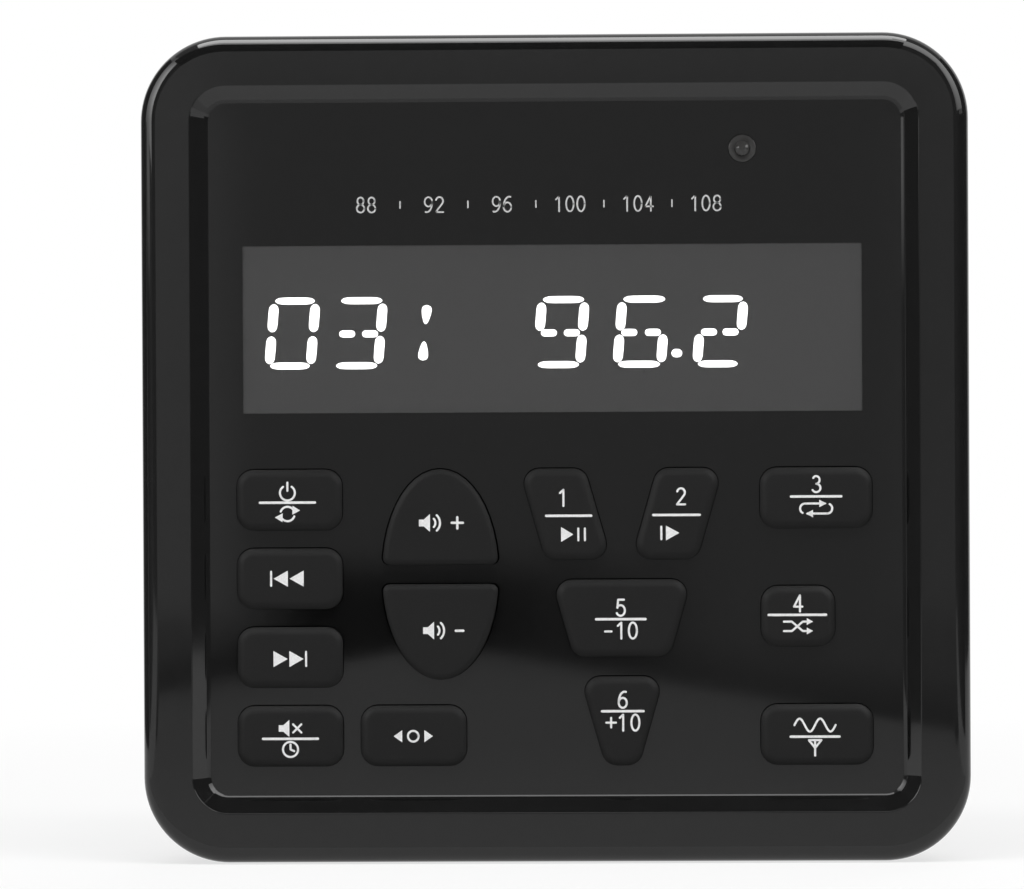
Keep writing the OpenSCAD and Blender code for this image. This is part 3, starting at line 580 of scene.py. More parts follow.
marks = {
    "power": sign("power", (-37.6, -5.95), 2.5) + bar(-37.6, -7.46, 7.7)
    + sign("cycle", (-37.6, -9.05), 2.4),
    "previous": sign("previous", (-37.6, -18.13), 2.35),
    "next": sign("next", (-37.45, -29.4), 2.35),
    "mute": sign("speaker cross", (-37.5, -39.15), 2.4) + bar(-37.35, -40.61, 7.7)
    + sign("clock", (-37.35, -42.1), 2.3),
    "select": sign("select", (-20.1, -40.3), 2.5),
    "volume_up": sign("speaker waves", (-17.6, -10.4), 2.5)
    + number("+", (-13.9, -10.4), VOLUME_SIZE, VOLUME_PEN),
    "volume_down": sign("speaker waves", (-17.1, -25.5), 2.5)
    + number("-", (-13.4, -25.4), VOLUME_SIZE, VOLUME_PEN),
    "preset_1": number("1", (1.08, -6.96), ROW) + bar(1.85, -9.48, 6.3)
    + sign("play_pause", (2.5, -12.1), 2.3),
    "preset_2": number("2", (17.6, -6.83), ROW) + bar(16.95, -9.43, 6.5)
    + sign("intro", (16.2, -11.95), 2.3),
    "preset_3": number("3", (36.57, -5.2), ROW) + bar(36.5, -6.93, 7.0)
    + sign("repeat", (36.5, -8.62), 2.2),
    "preset_4": number("4", (33.9, -21.9), ROW) + bar(33.8, -23.5, 8.0)
    + sign("shuffle", (33.9, -25.1), 2.2),
    "preset_5": number("5", (9.1, -22.4), ROW) + bar(9.08, -24.0, 6.9)
    + number("-10", (9.1, -25.6), ROW),
    "preset_6": number("6", (9.3, -35.3), ROW) + bar(9.3, -36.9, 5.8)
    + number("+10", (9.3, -38.5), ROW, step=WIDE_STEP),
    "band": sign("wave", (36.2, -38.94), 2.4) + bar(36.2, -40.56, 6.8)
    + sign("aerial", (36.2, -42.1), 2.2),
}
for key, ribbons in marks.items():
    on_key = lambda x, z: KEY_FRONT + crown(key, x, z) + INK_LIFT
    piece("print_" + key, [plate(r, on_key, INK_DEPTH) for r in ribbons], "button_" + key,
          "white_plastic", look="white_ink")

HEADER_Z, HEADER_LEFT, HEADER_STEP, HEADER_SIZE, HEADER_PEN = 34.25, -26.4, 9.54, 2.1, 0.115
TICK_HALF, TICK_PEN = 0.45, 0.1
header = [r for i, n in enumerate(["88", "92", "96", "100", "104", "108"])
          for r in number(n, (HEADER_LEFT + i * HEADER_STEP, HEADER_Z), HEADER_SIZE, HEADER_PEN)]
header += [stroke(line(x, HEADER_Z - TICK_HALF, x, HEADER_Z + TICK_HALF), TICK_PEN)
           for x in HEADER_LEFT + HEADER_STEP * (np.arange(5) + 0.5)]
piece("print_header", [plate(r, level_at(PANEL_FRONT + INK_LIFT), INK_DEPTH) for r in header],
      "body", "white_plastic", look="grey_ink")
print("printed pieces:", len(marks) + 1)

# %% [markdown]
# ## The lit display
# Behind the lens, characters are made of separate bars that lean a little, with the middle bar in
# two halves. Only the bars of the number on show are lit. Each bar is a ribbon whose ends draw in,
# as the etched bars of a real display do, so a thin dark gap is left between one bar and the next.

# %% Display bars
CELL_Z, CELL_H, MIDDLE_SHARE, LEAN = 11.23, 10.12, 0.49, 0.085
CELLS = {-41.0: ("0", 7.2), -31.7: ("3", 7.4), -3.3: ("9", 7.4), 8.0: ("6", 7.5),
         19.2: ("2", 7.2)}
BARS_OF = {"0": "abcdef", "2": "abged", "3": "abgcd", "6": "afgedc", "9": "abcdfg"}
UPRIGHT_HALF, LEVEL_HALF, MIDDLE_HALF, END_POWER, END_DRAW = 0.69, 0.49, 0.5, 6, 0.65
BAR_INSET, UPPER_END, LOWER_END, MIDDLE_END = 0.12, 0.92, 0.78, 0.3
MIDDLE_LEFT, MIDDLE_RIGHT = (0.2, 2.45), (2.6, 0.35)
COLON_X, DROPS, DROP_HALF = -18.75, [(17.5, 20.2), (15.1, 12.4)], 0.8
DOT_FROM, DOT_TO, DOT_HALF, LIT_LIFT, LIT_DEPTH = (16.93, 13.25), (17.27, 13.25), 0.58, 0.06, 0.05


def lit_bar(path, half):
    """Ribbon of one bar. Its half width at s, from -1 to 1 along it, is half * (1 - |s|^p)^q: full
    in the middle and drawn in at the ends."""
    s = np.sin(np.linspace(-np.pi / 2, np.pi / 2, 25))
    points = path[0] + (path[1] - path[0]) * ((s + 1) / 2)[:, None]
    points[:, 0] += LEAN * (points[:, 1] - CELL_Z)
    return stroke(points, half * np.maximum(1 - np.abs(s) ** END_POWER, 1e-4) ** END_DRAW)


def cell_bars(x, width, bars):
    """Bars of one character: a to g in the usual order, with g in two halves."""
    low, high, mid = CELL_Z, CELL_Z + CELL_H, CELL_Z + MIDDLE_SHARE * CELL_H
    left, right = x + UPRIGHT_HALF, x + width - UPRIGHT_HALF
    level = lambda z: (line(left + BAR_INSET, z, right - BAR_INSET, z), LEVEL_HALF)
    upper = lambda x: (line(x, mid + MIDDLE_END, x, high - UPPER_END), UPRIGHT_HALF)
    lower = lambda x: (line(x, low + LOWER_END, x, mid - MIDDLE_END), UPRIGHT_HALF)
    paths = {
        "a": [level(high - LEVEL_HALF)], "d": [level(low + LEVEL_HALF)],
        "b": [upper(right)], "c": [lower(right)], "e": [lower(left)], "f": [upper(left)],
        "g": [(line(left + MIDDLE_LEFT[0], mid, left + MIDDLE_LEFT[1], mid), MIDDLE_HALF),
              (line(right - MIDDLE_RIGHT[0], mid, right - MIDDLE_RIGHT[1], mid), MIDDLE_HALF)],
    }
    return [lit_bar(path, half) for b in bars for path, half in paths[b]]


def drop(z0, z1):
    """A drop of the colon: it starts at a point and swells to its round end."""
    t = np.linspace(0, 1, 17)
    z = z0 + (z1 - z0) * t
    swell = np.sqrt(np.maximum(t * (2 - 2 * t**6), 0)) / 1.3
    return stroke(np.stack([COLON_X + LEAN * (z - CELL_Z), z], axis=1), DROP_HALF * swell + POINT)


lit = [r for x, (c, w) in CELLS.items() for r in cell_bars(x, w, BARS_OF[c])]
lit += [drop(*ends) for ends in DROPS] + [stroke(line(*DOT_FROM, *DOT_TO), DOT_HALF)]
piece("display_bars", [plate(r, level_at(LCD_FRONT + LIT_LIFT), LIT_DEPTH) for r in lit], "body",
      "lamp", look="lit_bar")
print("lit bars:", len(lit))

# %% [markdown]
# ## The back of the unit
# Behind the dash there are rubber glands for the leads and pan-head screws in the finned plate. A
# gland is a section turned round its axis, with fat rounded lips. A screw head is a dome with a
# cross pressed into it: over its round grid, the height is the dome's less the depth of the cross.

# %% Glands and screws
GLAND_WALL, GLAND_RIM, GLAND_RIM_T, RIDGE_SHARE = 2.0, 1.6, 2.0, 0.55
RIDGE_OUT, RIDGE_H, RIM_H = 0.35, 0.7, 0.9
GLAND_RADII = [0.4, 0.35, 0.25, 0.45, 0.25, 0.1, 0.1, 0.3, 0.7, 0.4]
for node in ("wiring_gland", "data_gland", "aerial_gland"):
    low, high = span(node)
    outer, back_end, front_end = (high[0] - low[0]) / 2, low[2], high[2]
    sleeve, bore = outer - GLAND_RIM, outer - GLAND_RIM - GLAND_WALL
    ridge = bore + GLAND_WALL * RIDGE_SHARE
    section = soften(
        [(bore, back_end), (ridge, back_end), (ridge + RIDGE_OUT, back_end + RIDGE_H),
         (outer, back_end + RIM_H), (outer, back_end + GLAND_RIM_T),
         (sleeve, back_end + GLAND_RIM_T), (sleeve, front_end - GLAND_RIM_T),
         (outer, front_end - GLAND_RIM_T), (outer, front_end), (bore, front_end)], GLAND_RADII, 5)
    piece(node + "_rubber", [turned(section, (low + high) / 2, 72)], "body", "seal_rubber", [node])

HEAD_R, HEAD_H, SHANK_R, SHANK_L, SHANK_TIP, DOME_FALL = 2.1, 1.5, 1.2, 9.3, 9.5, 0.8
CROSS_HALF, CROSS_ARM, CROSS_DEPTH, CROSS_SOFT = 0.34, 1.3, 0.85, 0.035
FIRST_TURN, NEXT_TURN = 0.4, 1.1


def inside(d):
    """1 where d is well below zero, 0 where it is well above, and a soft step between."""
    return 1 / (1 + np.exp(np.clip(d / CROSS_SOFT, -40, 40)))


def screw_head(at, seat, turn):
    """Grid of a pan head on a seat, facing backward: rows run out from the middle over the dome,
    down the side and in under the shank. The cross is two bars, each a soft step both ways."""
    r = np.linspace(0, HEAD_R, 30)[:, None]
    a = np.linspace(0, 2 * np.pi, 97)[None]
    x, z = r * np.cos(a), r * np.sin(a)
    u = np.abs(x * np.cos(turn) + z * np.sin(turn))
    v = np.abs(z * np.cos(turn) - x * np.sin(turn))
    cross = np.maximum(inside(u - CROSS_HALF) * inside(v - CROSS_ARM),
                       inside(v - CROSS_HALF) * inside(u - CROSS_ARM))
    dome = HEAD_H * np.sqrt(np.maximum(1 - DOME_FALL * (r / HEAD_R) ** 4, 0)) + 0 * a
    head = np.stack([at[0] + x, at[1] + z, seat - dome + CROSS_DEPTH * cross], axis=-1)
    shank = turned(np.array([(HEAD_R, seat), (SHANK_R, seat), (SHANK_R, seat + SHANK_L),
                             (0, seat + SHANK_TIP)]), at, 96)
    return np.concatenate([head, shank])


screw_low, screw_high = span("rear_screws")
screw_at, plate_back = screw_high[0] - HEAD_R, screw_low[2] + HEAD_H
heads = [screw_head(screw_at * corner, plate_back, FIRST_TURN + NEXT_TURN * i)
         for i, corner in enumerate(CORNERS)]
rear = piece("rear_pan_screws", heads, "body", "steel", ["rear_screws"], sharp=50)
print("rear screw faces:", len(rear.data.polygons))

# %% [markdown]
# ## Wound and flexible parts inside
# The sealed body also holds a choke, three capacitors and a ribbon cable. The choke is wire wound
# on a ring: a point that circles the ring's section while it goes round the ring draws the winding,
# and a small circle is carried along that path. The ribbon is a bowed strip whose surface ripples
# over its cores, and the capacitors are turned shells with a crimp above the foot.

# %% Choke, capacitors and ribbon
CHOKE_TURNS, WIRE_R, WIRE_SIDES, TURN_STEPS = 26, 0.4, 8, 22
choke_low, choke_high = span("choke")
choke_middle = (choke_low + choke_high) / 2
coil_r = (choke_high[2] - choke_low[2]) / 2
ring_r = (choke_high[0] - choke_low[0]) / 2 - coil_r


def wound(turns, r, wire):
    """Tube along a winding. The path circles the ring's section `turns` times in one round of the
    ring, and the tube's circle stands square to the path."""
    t = np.linspace(0, 2 * np.pi, turns * TURN_STEPS + 1)
    reach = ring_r + r * np.cos(turns * t)
    path = np.stack([reach * np.cos(t), reach * np.sin(t), r * np.sin(turns * t)], axis=1)
    along = np.gradient(path, axis=0)
    along[0] = along[-1] = path[1] - path[-2]
    along /= np.linalg.norm(along, axis=1)[:, None]
    out = path - np.stack([ring_r * np.cos(t), ring_r * np.sin(t), 0 * t], axis=1)
    out /= np.linalg.norm(out, axis=1)[:, None]
    side = np.cross(along, out)
    b = np.linspace(0, 2 * np.pi, WIRE_SIDES + 1)[None, :, None]
    circle = np.cos(b) * out[:, None] + np.sin(b) * side[:, None]
    return path[:, None] + wire * circle + choke_middle


t = np.linspace(0, 2 * np.pi, 33)
core_r = coil_r - 2 * WIRE_R
core = np.stack([ring_r + core_r * np.cos(t), choke_middle[2] + core_r * np.sin(t)], axis=1)
piece("choke_winding", [wound(CHOKE_TURNS, coil_r - WIRE_R, WIRE_R)], "body", "copper_wire",
      ["choke"])
piece("choke_core", [turned(core, choke_middle, 64)], "body", "black_component")

CAN_COUNT, CAN_R, CAN_PITCH, CRIMP_AT, CRIMP_HALF, CRIMP_IN = 3, 5.0, 12.0, 1.7, 0.5, 0.45
CAN_RIM, CAN_INNER, CAN_DIP = 0.9, 1.0, 0.2
can_low, can_high = span("capacitors")
can_foot, can_top, can_z = can_low[2], can_high[2], (can_low[1] + can_high[1]) / 2
crimp = can_foot + CRIMP_AT
can_section = soften(
    [(0, can_foot), (CAN_R, can_foot), (CAN_R, crimp - CRIMP_HALF), (CAN_R - CRIMP_IN, crimp),
     (CAN_R, crimp + CRIMP_HALF), (CAN_R, can_top), (CAN_R - CAN_RIM, can_top),
     (CAN_R - CAN_INNER, can_top - CAN_DIP), (0, can_top - CAN_DIP)],
    [0, 0.5, 0.3, 0.3, 0.3, 0.5, 0.05, 0.05, 0], 5, False)
cans = [turned(can_section, (can_low[0] + CAN_R + i * CAN_PITCH, can_z), 56)
        for i in range(CAN_COUNT)]
piece("capacitor_cans", cans, "body", "capacitor_sleeve", ["capacitors"])

RIBBON_T, RIBBON_CORES, WEB_SHARE, CORE_SHARE = 0.3, 16, 0.36, 0.14
ribbon_low, ribbon_high = span("ribbon_cable")
ribbon_size, ribbon_middle = ribbon_high - ribbon_low, (ribbon_low + ribbon_high) / 2
s = np.linspace(-1, 1, 33)[:, None]
w = np.linspace(0, 1, 8 * RIBBON_CORES + 1)
ripple = RIBBON_T * (WEB_SHARE + CORE_SHARE * np.abs(np.sin(RIBBON_CORES * np.pi * w)))
loop_w = np.concatenate([w, w[::-1], w[:1]])
loop_t = np.concatenate([ripple, -ripple[::-1], ripple[:1]])
bowed = ribbon_low[1] + RIBBON_T / 2 + (ribbon_size[1] - RIBBON_T) * s**2 + 0 * loop_t
strip = np.stack([ribbon_low[0] + loop_w * ribbon_size[0] + 0 * s, bowed + loop_t,
                  ribbon_middle[2] + s * ribbon_size[2] / 2 + 0 * loop_w], axis=-1)
ends = strip[[0, -1]]
ends[..., 1] = bowed[[0, -1]]
piece("ribbon_strip", [np.concatenate([ends[:1], strip, ends[1:]])], "body", "ribbon",
      ["ribbon_cable"])
print("choke, capacitors and ribbon made")

# %% [markdown]
# ## Effects that finishes share
# Three effects turn up in many finishes, so each is a node group. Grain is fine noise that gives a
# height for bumps and flecks for colour. Handling is broad noise that varies the gloss where
# fingers have been. Edge rub compares a rounded normal with the true one, which marks the edges and
# softens them. The groups put out numbers and normals only; the shader stays in each material.

# %% Node helpers and shared groups
def add(tree, kind, inputs=None, **settings):
    """A node with its settings; each input gets a value or a link from another node's output."""
    made = tree.nodes.new(kind)
    for key, value in settings.items():
        setattr(made, key, value)
    for key, value in (inputs or {}).items():
        if isinstance(value, bpy.types.NodeSocket):
            tree.links.new(value, made.inputs[key])
        else:
            made.inputs[key].default_value = value
    return made


def group(name, inputs, outputs):
    """An empty node group with number inputs and the outputs named, and its two end nodes."""
    tree = bpy.data.node_groups.new(name, "ShaderNodeTree")
    for label, value in inputs.items():
        made = tree.interface.new_socket(label, in_out="INPUT", socket_type="NodeSocketFloat")
        made.default_value = value
    for label, kind in outputs.items():
        tree.interface.new_socket(label, in_out="OUTPUT", socket_type=kind)
    return tree, tree.nodes.new("NodeGroupInput").outputs, tree.nodes.new("NodeGroupOutput").inputs


def math(tree, operation, first, *rest):
    """Numbers taken one after another into one, by Math nodes."""
    for value in rest:
        first = add(tree, "ShaderNodeMath", {0: first, 1: value}, operation=operation).outputs[0]
    return first


def ramp(tree, value, start, end, low=0.0, high=1.0):
    """low until value reaches start, then evenly to high at end."""
    return add(tree, "ShaderNodeMapRange",
               {0: value, 1: start, 2: end, 3: low, 4: high}).outputs[0]


def place_on(tree):
    """The place on the object, in its own coordinates."""
    return add(tree, "ShaderNodeTexCoord").outputs["Object"]


NUMBER, VECTOR = "NodeSocketFloat", "NodeSocketVector"
NOISE_SHARE, CELL_SHARE = 0.7, 0.3
grain, into, out = group("grain", {"Scale": 800.0}, {"Height": NUMBER, "Fleck": NUMBER})
where = place_on(grain)
fine = add(grain, "ShaderNodeTexNoise", {"Vector": where, "Scale": into["Scale"], "Detail": 3.0})
cells = add(grain, "ShaderNodeTexVoronoi", {"Vector": where, "Scale": into["Scale"]})
mixed = math(grain, "ADD", math(grain, "MULTIPLY", fine.outputs[0], NOISE_SHARE),
             math(grain, "MULTIPLY", cells.outputs["Distance"], CELL_SHARE))
grain.links.new(mixed, out["Height"])
grain.links.new(ramp(grain, fine.outputs[0], 0.35, 0.7), out["Fleck"])

handling, into, out = group("handling", {"Roughness": 0.1, "Spread": 0.05}, {"Roughness": NUMBER})
broad = add(handling, "ShaderNodeTexNoise", {"Vector": place_on(handling), "Scale": 45.0,
                                             "Detail": 5.0, "Distortion": 0.6})
film = ramp(handling, broad.outputs[0], 0.3, 0.75)
spread = math(handling, "MULTIPLY", film, into["Spread"])
handling.links.new(math(handling, "ADD", into["Roughness"], spread), out["Roughness"])

edge_rub, into, out = group("edge_rub", {"Radius": 0.0004}, {"Mask": NUMBER, "Normal": VECTOR})
true_normal = add(edge_rub, "ShaderNodeNewGeometry").outputs["Normal"]
rounded = add(edge_rub, "ShaderNodeBevel", {"Radius": into["Radius"]}, samples=4).outputs[0]
agree = add(edge_rub, "ShaderNodeVectorMath", {0: rounded, 1: true_normal},
            operation="DOT_PRODUCT").outputs["Value"]
edge_rub.links.new(ramp(edge_rub, agree, 0.98, 0.75), out["Mask"])
edge_rub.links.new(rounded, out["Normal"])
print("shared groups:", [g.name for g in (grain, handling, edge_rub)])

# %% [markdown]
# ## Finishes
# A finish is a Principled shader whose colour, gloss and bump come from the groups. Each could be
# wired by hand, but one recipe serves them all: two tones mixed by the grain's flecks, gloss from
# handling, a bump from the grain, and a third tone along the edges where the finish has any wear.

# %% The recipe
finishes = {}


def grey(value, warm=0.0):
    """A near neutral colour, a little warm or cool."""
    return value * (1 + warm), value, value * (1 - warm), 1.0


def material(name):
    """A new material, its node tree and its shader."""
    made = bpy.data.materials.new(name)
    made.use_nodes = True
    return made, made.node_tree, made.node_tree.nodes["Principled BSDF"]


def blend(tree, share, first, second):
    """A colour between two, by a share."""
    return add(tree, "ShaderNodeMix", {0: share, 6: first, 7: second}, data_type="RGBA").outputs[2]


def finish(name, low, high, scale, rough, spread, bump, edge=None, radius=0.0004, **constants):
    """The common recipe: low and high are mixed by flecks of grain at a scale, roughness is rough
    plus spread by handling, the bump's depth is in metres, and edge is the worn tone along edges
    rounded to a radius in metres. Constants are set on the shader."""
    finishes[name], tree, shader = material(name)
    grains = add(tree, "ShaderNodeGroup", node_tree=grain)
    grains.inputs["Scale"].default_value = scale
    hands = add(tree, "ShaderNodeGroup", node_tree=handling)
    hands.inputs["Roughness"].default_value = rough
    hands.inputs["Spread"].default_value = spread
    tone = blend(tree, grains.outputs["Fleck"], low, high)
    bumped = add(tree, "ShaderNodeBump", {"Height": grains.outputs["Height"], "Distance": bump,
                                          "Strength": 1.0})
    if edge is not None:
        rub = add(tree, "ShaderNodeGroup", node_tree=edge_rub)
        rub.inputs["Radius"].default_value = radius
        tone = blend(tree, rub.outputs["Mask"], tone, edge)
        tree.links.new(rub.outputs["Normal"], bumped.inputs["Normal"])
    tree.links.new(tone, shader.inputs["Base Color"])
    tree.links.new(hands.outputs["Roughness"], shader.inputs["Roughness"])
    tree.links.new(bumped.outputs[0], shader.inputs["Normal"])
    for key, value in constants.items():
        shader.inputs[key.replace("_", " ")].default_value = value
    return tree, shader, tone


# %% [markdown]
# ## The outside: gloss, silicone, rubber and metal
# The frame and the panel are polished black plastic, almost free of texture, so their look is what
# they reflect. The keys are matt silicone with a fine spark-eroded grain. The body has a coarser
# moulded grain, and the cast plate is bead blasted, paler where its edges have been rubbed.

# %% Outside finishes
finish("frame_gloss", grey(0.0042), grey(0.0056), 900, 0.035, 0.03, 1.2e-7, IOR=1.47)
finish("panel_gloss", grey(0.0042), grey(0.0054), 900, 0.03, 0.03, 0.6e-7, IOR=1.47)
finish("key_silicone", grey(0.0082), grey(0.0102), 5200, 0.48, 0.1, 4e-6, IOR=1.41,
       Specular_IOR_Level=0.2)
finish("body_plastic", grey(0.011), grey(0.017), 1500, 0.46, 0.1, 2.2e-5, grey(0.026), 0.0005)
finish("seal_rubber", grey(0.012), grey(0.02), 1900, 0.6, 0.12, 2.5e-5, grey(0.03), 0.0004)
finish("cast_aluminium", grey(0.34, -0.01), grey(0.42, -0.01), 2600, 0.42, 0.1, 2.2e-5,
       grey(0.62, -0.01), 0.0004, Metallic=1.0)
finish("steel", grey(0.5), grey(0.62), 2600, 0.26, 0.14, 3e-6, grey(0.7), 0.0001, Metallic=1.0)
finish("ir_lens", grey(0.026, 0.02), grey(0.031, 0.02), 1200, 0.05, 0.03, 4e-7, IOR=1.5)
finish("white_ink", grey(0.69), grey(0.8), 4200, 0.5, 0.1, 1e-6, Specular_IOR_Level=0.3)
finish("grey_ink", grey(0.44), grey(0.54), 4200, 0.5, 0.1, 1e-6)
print("outside finishes:", len(finishes))

# %% [markdown]
# ## The display
# The lens is smoked plastic that lets some light through, so it keeps plain Transmission and
# Metallic. Behind it the glass glows a dim even grey with a faint fine mesh, and the lit bars glow
# white. The glow is the display's own light, so it needs no lamp.

# %% Display finishes
def bricks(tree, **inputs):
    """Colour of a brick pattern that lies in the plane of the face."""
    upright = add(tree, "ShaderNodeMapping",
                  {"Vector": place_on(tree), "Rotation": (np.pi / 2, 0, 0)}).outputs[0]
    named = {key.replace("_", " "): value for key, value in inputs.items()}
    return add(tree, "ShaderNodeTexBrick", {"Vector": upright, **named}).outputs["Color"]


finish("smoked_lens", grey(0.612), grey(0.618), 2400, 0.02, 0.003, 2e-8, IOR=1.46,
       Transmission_Weight=1.0)

tree, shader, _ = finish("lcd", grey(0.018), grey(0.02), 3000, 0.25, 0.005, 1e-6,
                         Emission_Strength=1.0)
mesh_lines = bricks(tree, Color1=grey(0.0255), Color2=grey(0.0265), Mortar=grey(0.023),
                    Scale=400.0, Mortar_Size=0.04, Brick_Width=0.5, Row_Height=0.5)
tree.links.new(mesh_lines, shader.inputs["Emission Color"])

tree, shader, tone = finish("lit_bar", grey(0.90), grey(0.98), 900, 0.4, 0.1, 1e-6,
                            Emission_Strength=3.2)
tree.links.new(tone, shader.inputs["Emission Color"])
print("display finishes made")

# %% [markdown]
# ## The inside
# The sealed body's parts get plain workshop finishes: white mouldings, moulded chips, green boards
# with traces, tinned cans, enamelled wire. The boards' traces are the thin joints of a brick
# pattern, which run straight and turn square as etched traces do.

# %% Inside finishes
finish("white_plastic", grey(0.68, 0.02), grey(0.76, 0.02), 1200, 0.42, 0.08, 4e-6, grey(0.8, 0.02))
finish("black_component", grey(0.016), grey(0.026), 3200, 0.5, 0.1, 6e-6, grey(0.04))
finish("grey_silicone", grey(0.14), grey(0.18), 2200, 0.55, 0.1, 6e-6, grey(0.2))
finish("carbon", grey(0.012), grey(0.022), 4200, 0.62, 0.1, 5e-6, grey(0.03), 0.0001)
finish("lamp", grey(0.74, 0.08), grey(0.84, 0.06), 1500, 0.2, 0.06, 1e-6, grey(0.86, 0.05), 0.0001)
finish("ribbon", grey(0.58), grey(0.7), 900, 0.38, 0.08, 2e-6)
finish("thermal_silicone", grey(0.42, -0.03), grey(0.52, -0.03), 2600, 0.7, 0.1, 1e-5,
       grey(0.55, -0.03), 0.0002)
finish("capacitor_sleeve", (0.018, 0.035, 0.11, 1), (0.026, 0.048, 0.14, 1), 700, 0.24, 0.1, 2e-6)
finish("copper_wire", (0.42, 0.15, 0.05, 1), (0.55, 0.22, 0.08, 1), 900, 0.24, 0.12, 2e-6,
       Metallic=1.0)
finish("tin_plate", grey(0.52), grey(0.64), 700, 0.3, 0.16, 3e-6, grey(0.72), 0.0003, Metallic=1.0)

TRACE_GREEN = (0.02, 0.15, 0.06, 1)
tree, shader, tone = finish("circuit_board", (0.006, 0.06, 0.028, 1), (0.008, 0.075, 0.034, 1),
                            1500, 0.32, 0.1, 2e-6)
traces = bricks(tree, Color1=grey(0), Color2=grey(0), Mortar=grey(1.0), Scale=120.0,
                Mortar_Size=0.035, Brick_Width=0.9, Row_Height=0.35)
tree.links.new(blend(tree, traces, tone, TRACE_GREEN), shader.inputs["Base Color"])
print("finishes in all:", len(finishes))

# %% [markdown]
# ## Handing out the finishes
# Each new piece takes the finish of its slot or its own look, and each CAD node that still shows
# takes the finish of the slot that the record gives it.

# %% Assign
for name, look in looks.items():
    bpy.data.objects[name].data.materials.append(finishes[look])
for row in frame["record"]["subparts"]:
    carried = frame["nodes"][row["node"]]
    for place in carried.material_slots:
        place.material = finishes[row["material_slot"]]

# %% [markdown]
# ## Floor and world
# The unit stands on a white ground in a white studio. The ground could be lit until it is white,
# but that would burn out the object too. It gets a pale colour instead, and a glow that only the
# camera and reflections see. The glow is weaker near the object, so that the object's shadow stays.

# %% Floor and world
def flat(name, corner, across, along):
    """A stage plane from a corner and its two edges, in metres."""
    corner, across, along = np.array([corner, across, along], float)
    points = [corner, corner + across, corner + across + along, corner + along]
    mesh = bpy.data.meshes.new(name)
    mesh.from_pydata([p.tolist() for p in points], [], [(0, 1, 2, 3)])
    made = bpy.data.objects.new(name, mesh)
    bpy.context.scene.collection.objects.link(made)
    return made


def seen_directly(tree):
    """1 for a camera, glossy or transmission ray and 0 for the rest."""
    rays = add(tree, "ShaderNodeLightPath").outputs
    return math(tree, "MAXIMUM", rays["Is Camera Ray"], rays["Is Glossy Ray"],
                rays["Is Transmission Ray"])


FLOOR_DROP, FLOOR_HALF, FLOOR_GREY, FLOOR_ROUGH = 0.0002, 4, 0.8, 0.9
GLOW_FROM, GLOW_TO, NEAR_GLOW, AMBIENT = 0.1, 0.4, 0.72, 0.24
FLOOR_Z = cad_box[0].z - FLOOR_DROP
floor = flat("floor", (-FLOOR_HALF, -FLOOR_HALF, FLOOR_Z), (2 * FLOOR_HALF, 0, 0),
             (0, 2 * FLOOR_HALF, 0))
pale, tree, shader = material("pale_floor")
shader.inputs["Base Color"].default_value = grey(FLOOR_GREY)
shader.inputs["Roughness"].default_value = FLOOR_ROUGH
shader.inputs["Specular IOR Level"].default_value = 0.0
glow = add(tree, "ShaderNodeEmission", {"Color": grey(1.0), "Strength": 1.0}).outputs[0]
away = add(tree, "ShaderNodeVectorMath", {0: place_on(tree)}, operation="LENGTH").outputs["Value"]
share = math(tree, "MULTIPLY", seen_directly(tree),
             ramp(tree, away, GLOW_FROM, GLOW_TO, NEAR_GLOW, 1.0))
both = add(tree, "ShaderNodeMixShader", {0: share, 1: shader.outputs[0], 2: glow}).outputs[0]
tree.links.new(both, tree.nodes["Material Output"].inputs["Surface"])
floor.data.materials.append(pale)

world = bpy.data.worlds.new("studio")
bpy.context.scene.world = world
world.use_nodes = True
tree = world.node_tree
background = tree.nodes["Background"]
tree.links.new(ramp(tree, seen_directly(tree), 0, 1, AMBIENT, 1), background.inputs["Strength"])
background.inputs["Color"].default_value = grey(1.0)
bpy.context.scene.view_settings.view_transform = "Standard"
print("floor at", round(FLOOR_Z / MM, 1), "mm, ambient light", AMBIENT)

# %% [markdown]
# ## Lamps
# Large soft lamps light the face from both sides, from above and from behind. They are kept out of
# reflections: on gloss black plastic each would be a bright square, and the studio's cards give the
# reflections instead. Together they light a colour at about the level at which it is written.

# %% Lamps
def softbox(name, place, aim, size, watts):
    """A rectangular area lamp at a place, aimed at a point, which reflections don't show."""
    lamp = bpy.data.lights.new(name, "AREA")
    lamp.shape, lamp.size, lamp.size_y, lamp.energy = "RECTANGLE", size[0], size[1], watts
    made = bpy.data.objects.new(name, lamp)
    made.location = place
    made.rotation_euler = (Vector(aim) - Vector(place)).to_track_quat("-Z", "Y").to_euler()
    made.visible_camera = made.visible_glossy = False
    bpy.context.scene.collection.objects.link(made)
    return made


lamps = [softbox("top_box", (0, -0.28, 0.62), (0, 0, 0.05), (1.1, 0.2), 5.6),
         softbox("fill_left", (-0.9, -1.2, 0.95), (0, 0, 0), (0.8, 0.8), 3.4),
         softbox("fill_right", (0.9, -1.2, 0.95), (0, 0, 0), (0.8, 0.8), 3.4),
         softbox("fill_back", (0.3, 1.2, 0.7), (0, 0, 0), (0.9, 0.9), 7.0)]
print("lamps:", len(lamps))

# %% [markdown]
# ## Studio cards
# A gloss black face shows little but what it reflects, so its look is made with cards: a grey card
# in front, dark walls at the sides that the bevels pick up, a bright strip overhead for the line
# along the upper edge, light boxes at both sides for the arcs on the upper corners, and a dark flag
# that keeps the strip off the lower bevel. The camera's own side of the room is darker, and its
# dark shape lies across the lower half of the panel. Only reflections see the cards, and a card's
# glow may change across it.

# %% Card makers
def ramps(tree, spot, rows, operation="MULTIPLY"):
    """Ramps along a card's axes, taken into one number. A row is an axis and the ramp's start and
    end, then its low and high where they aren't 0 and 1."""
    return math(tree, operation, *(ramp(tree, spot[axis], *stops) for axis, *stops in rows))


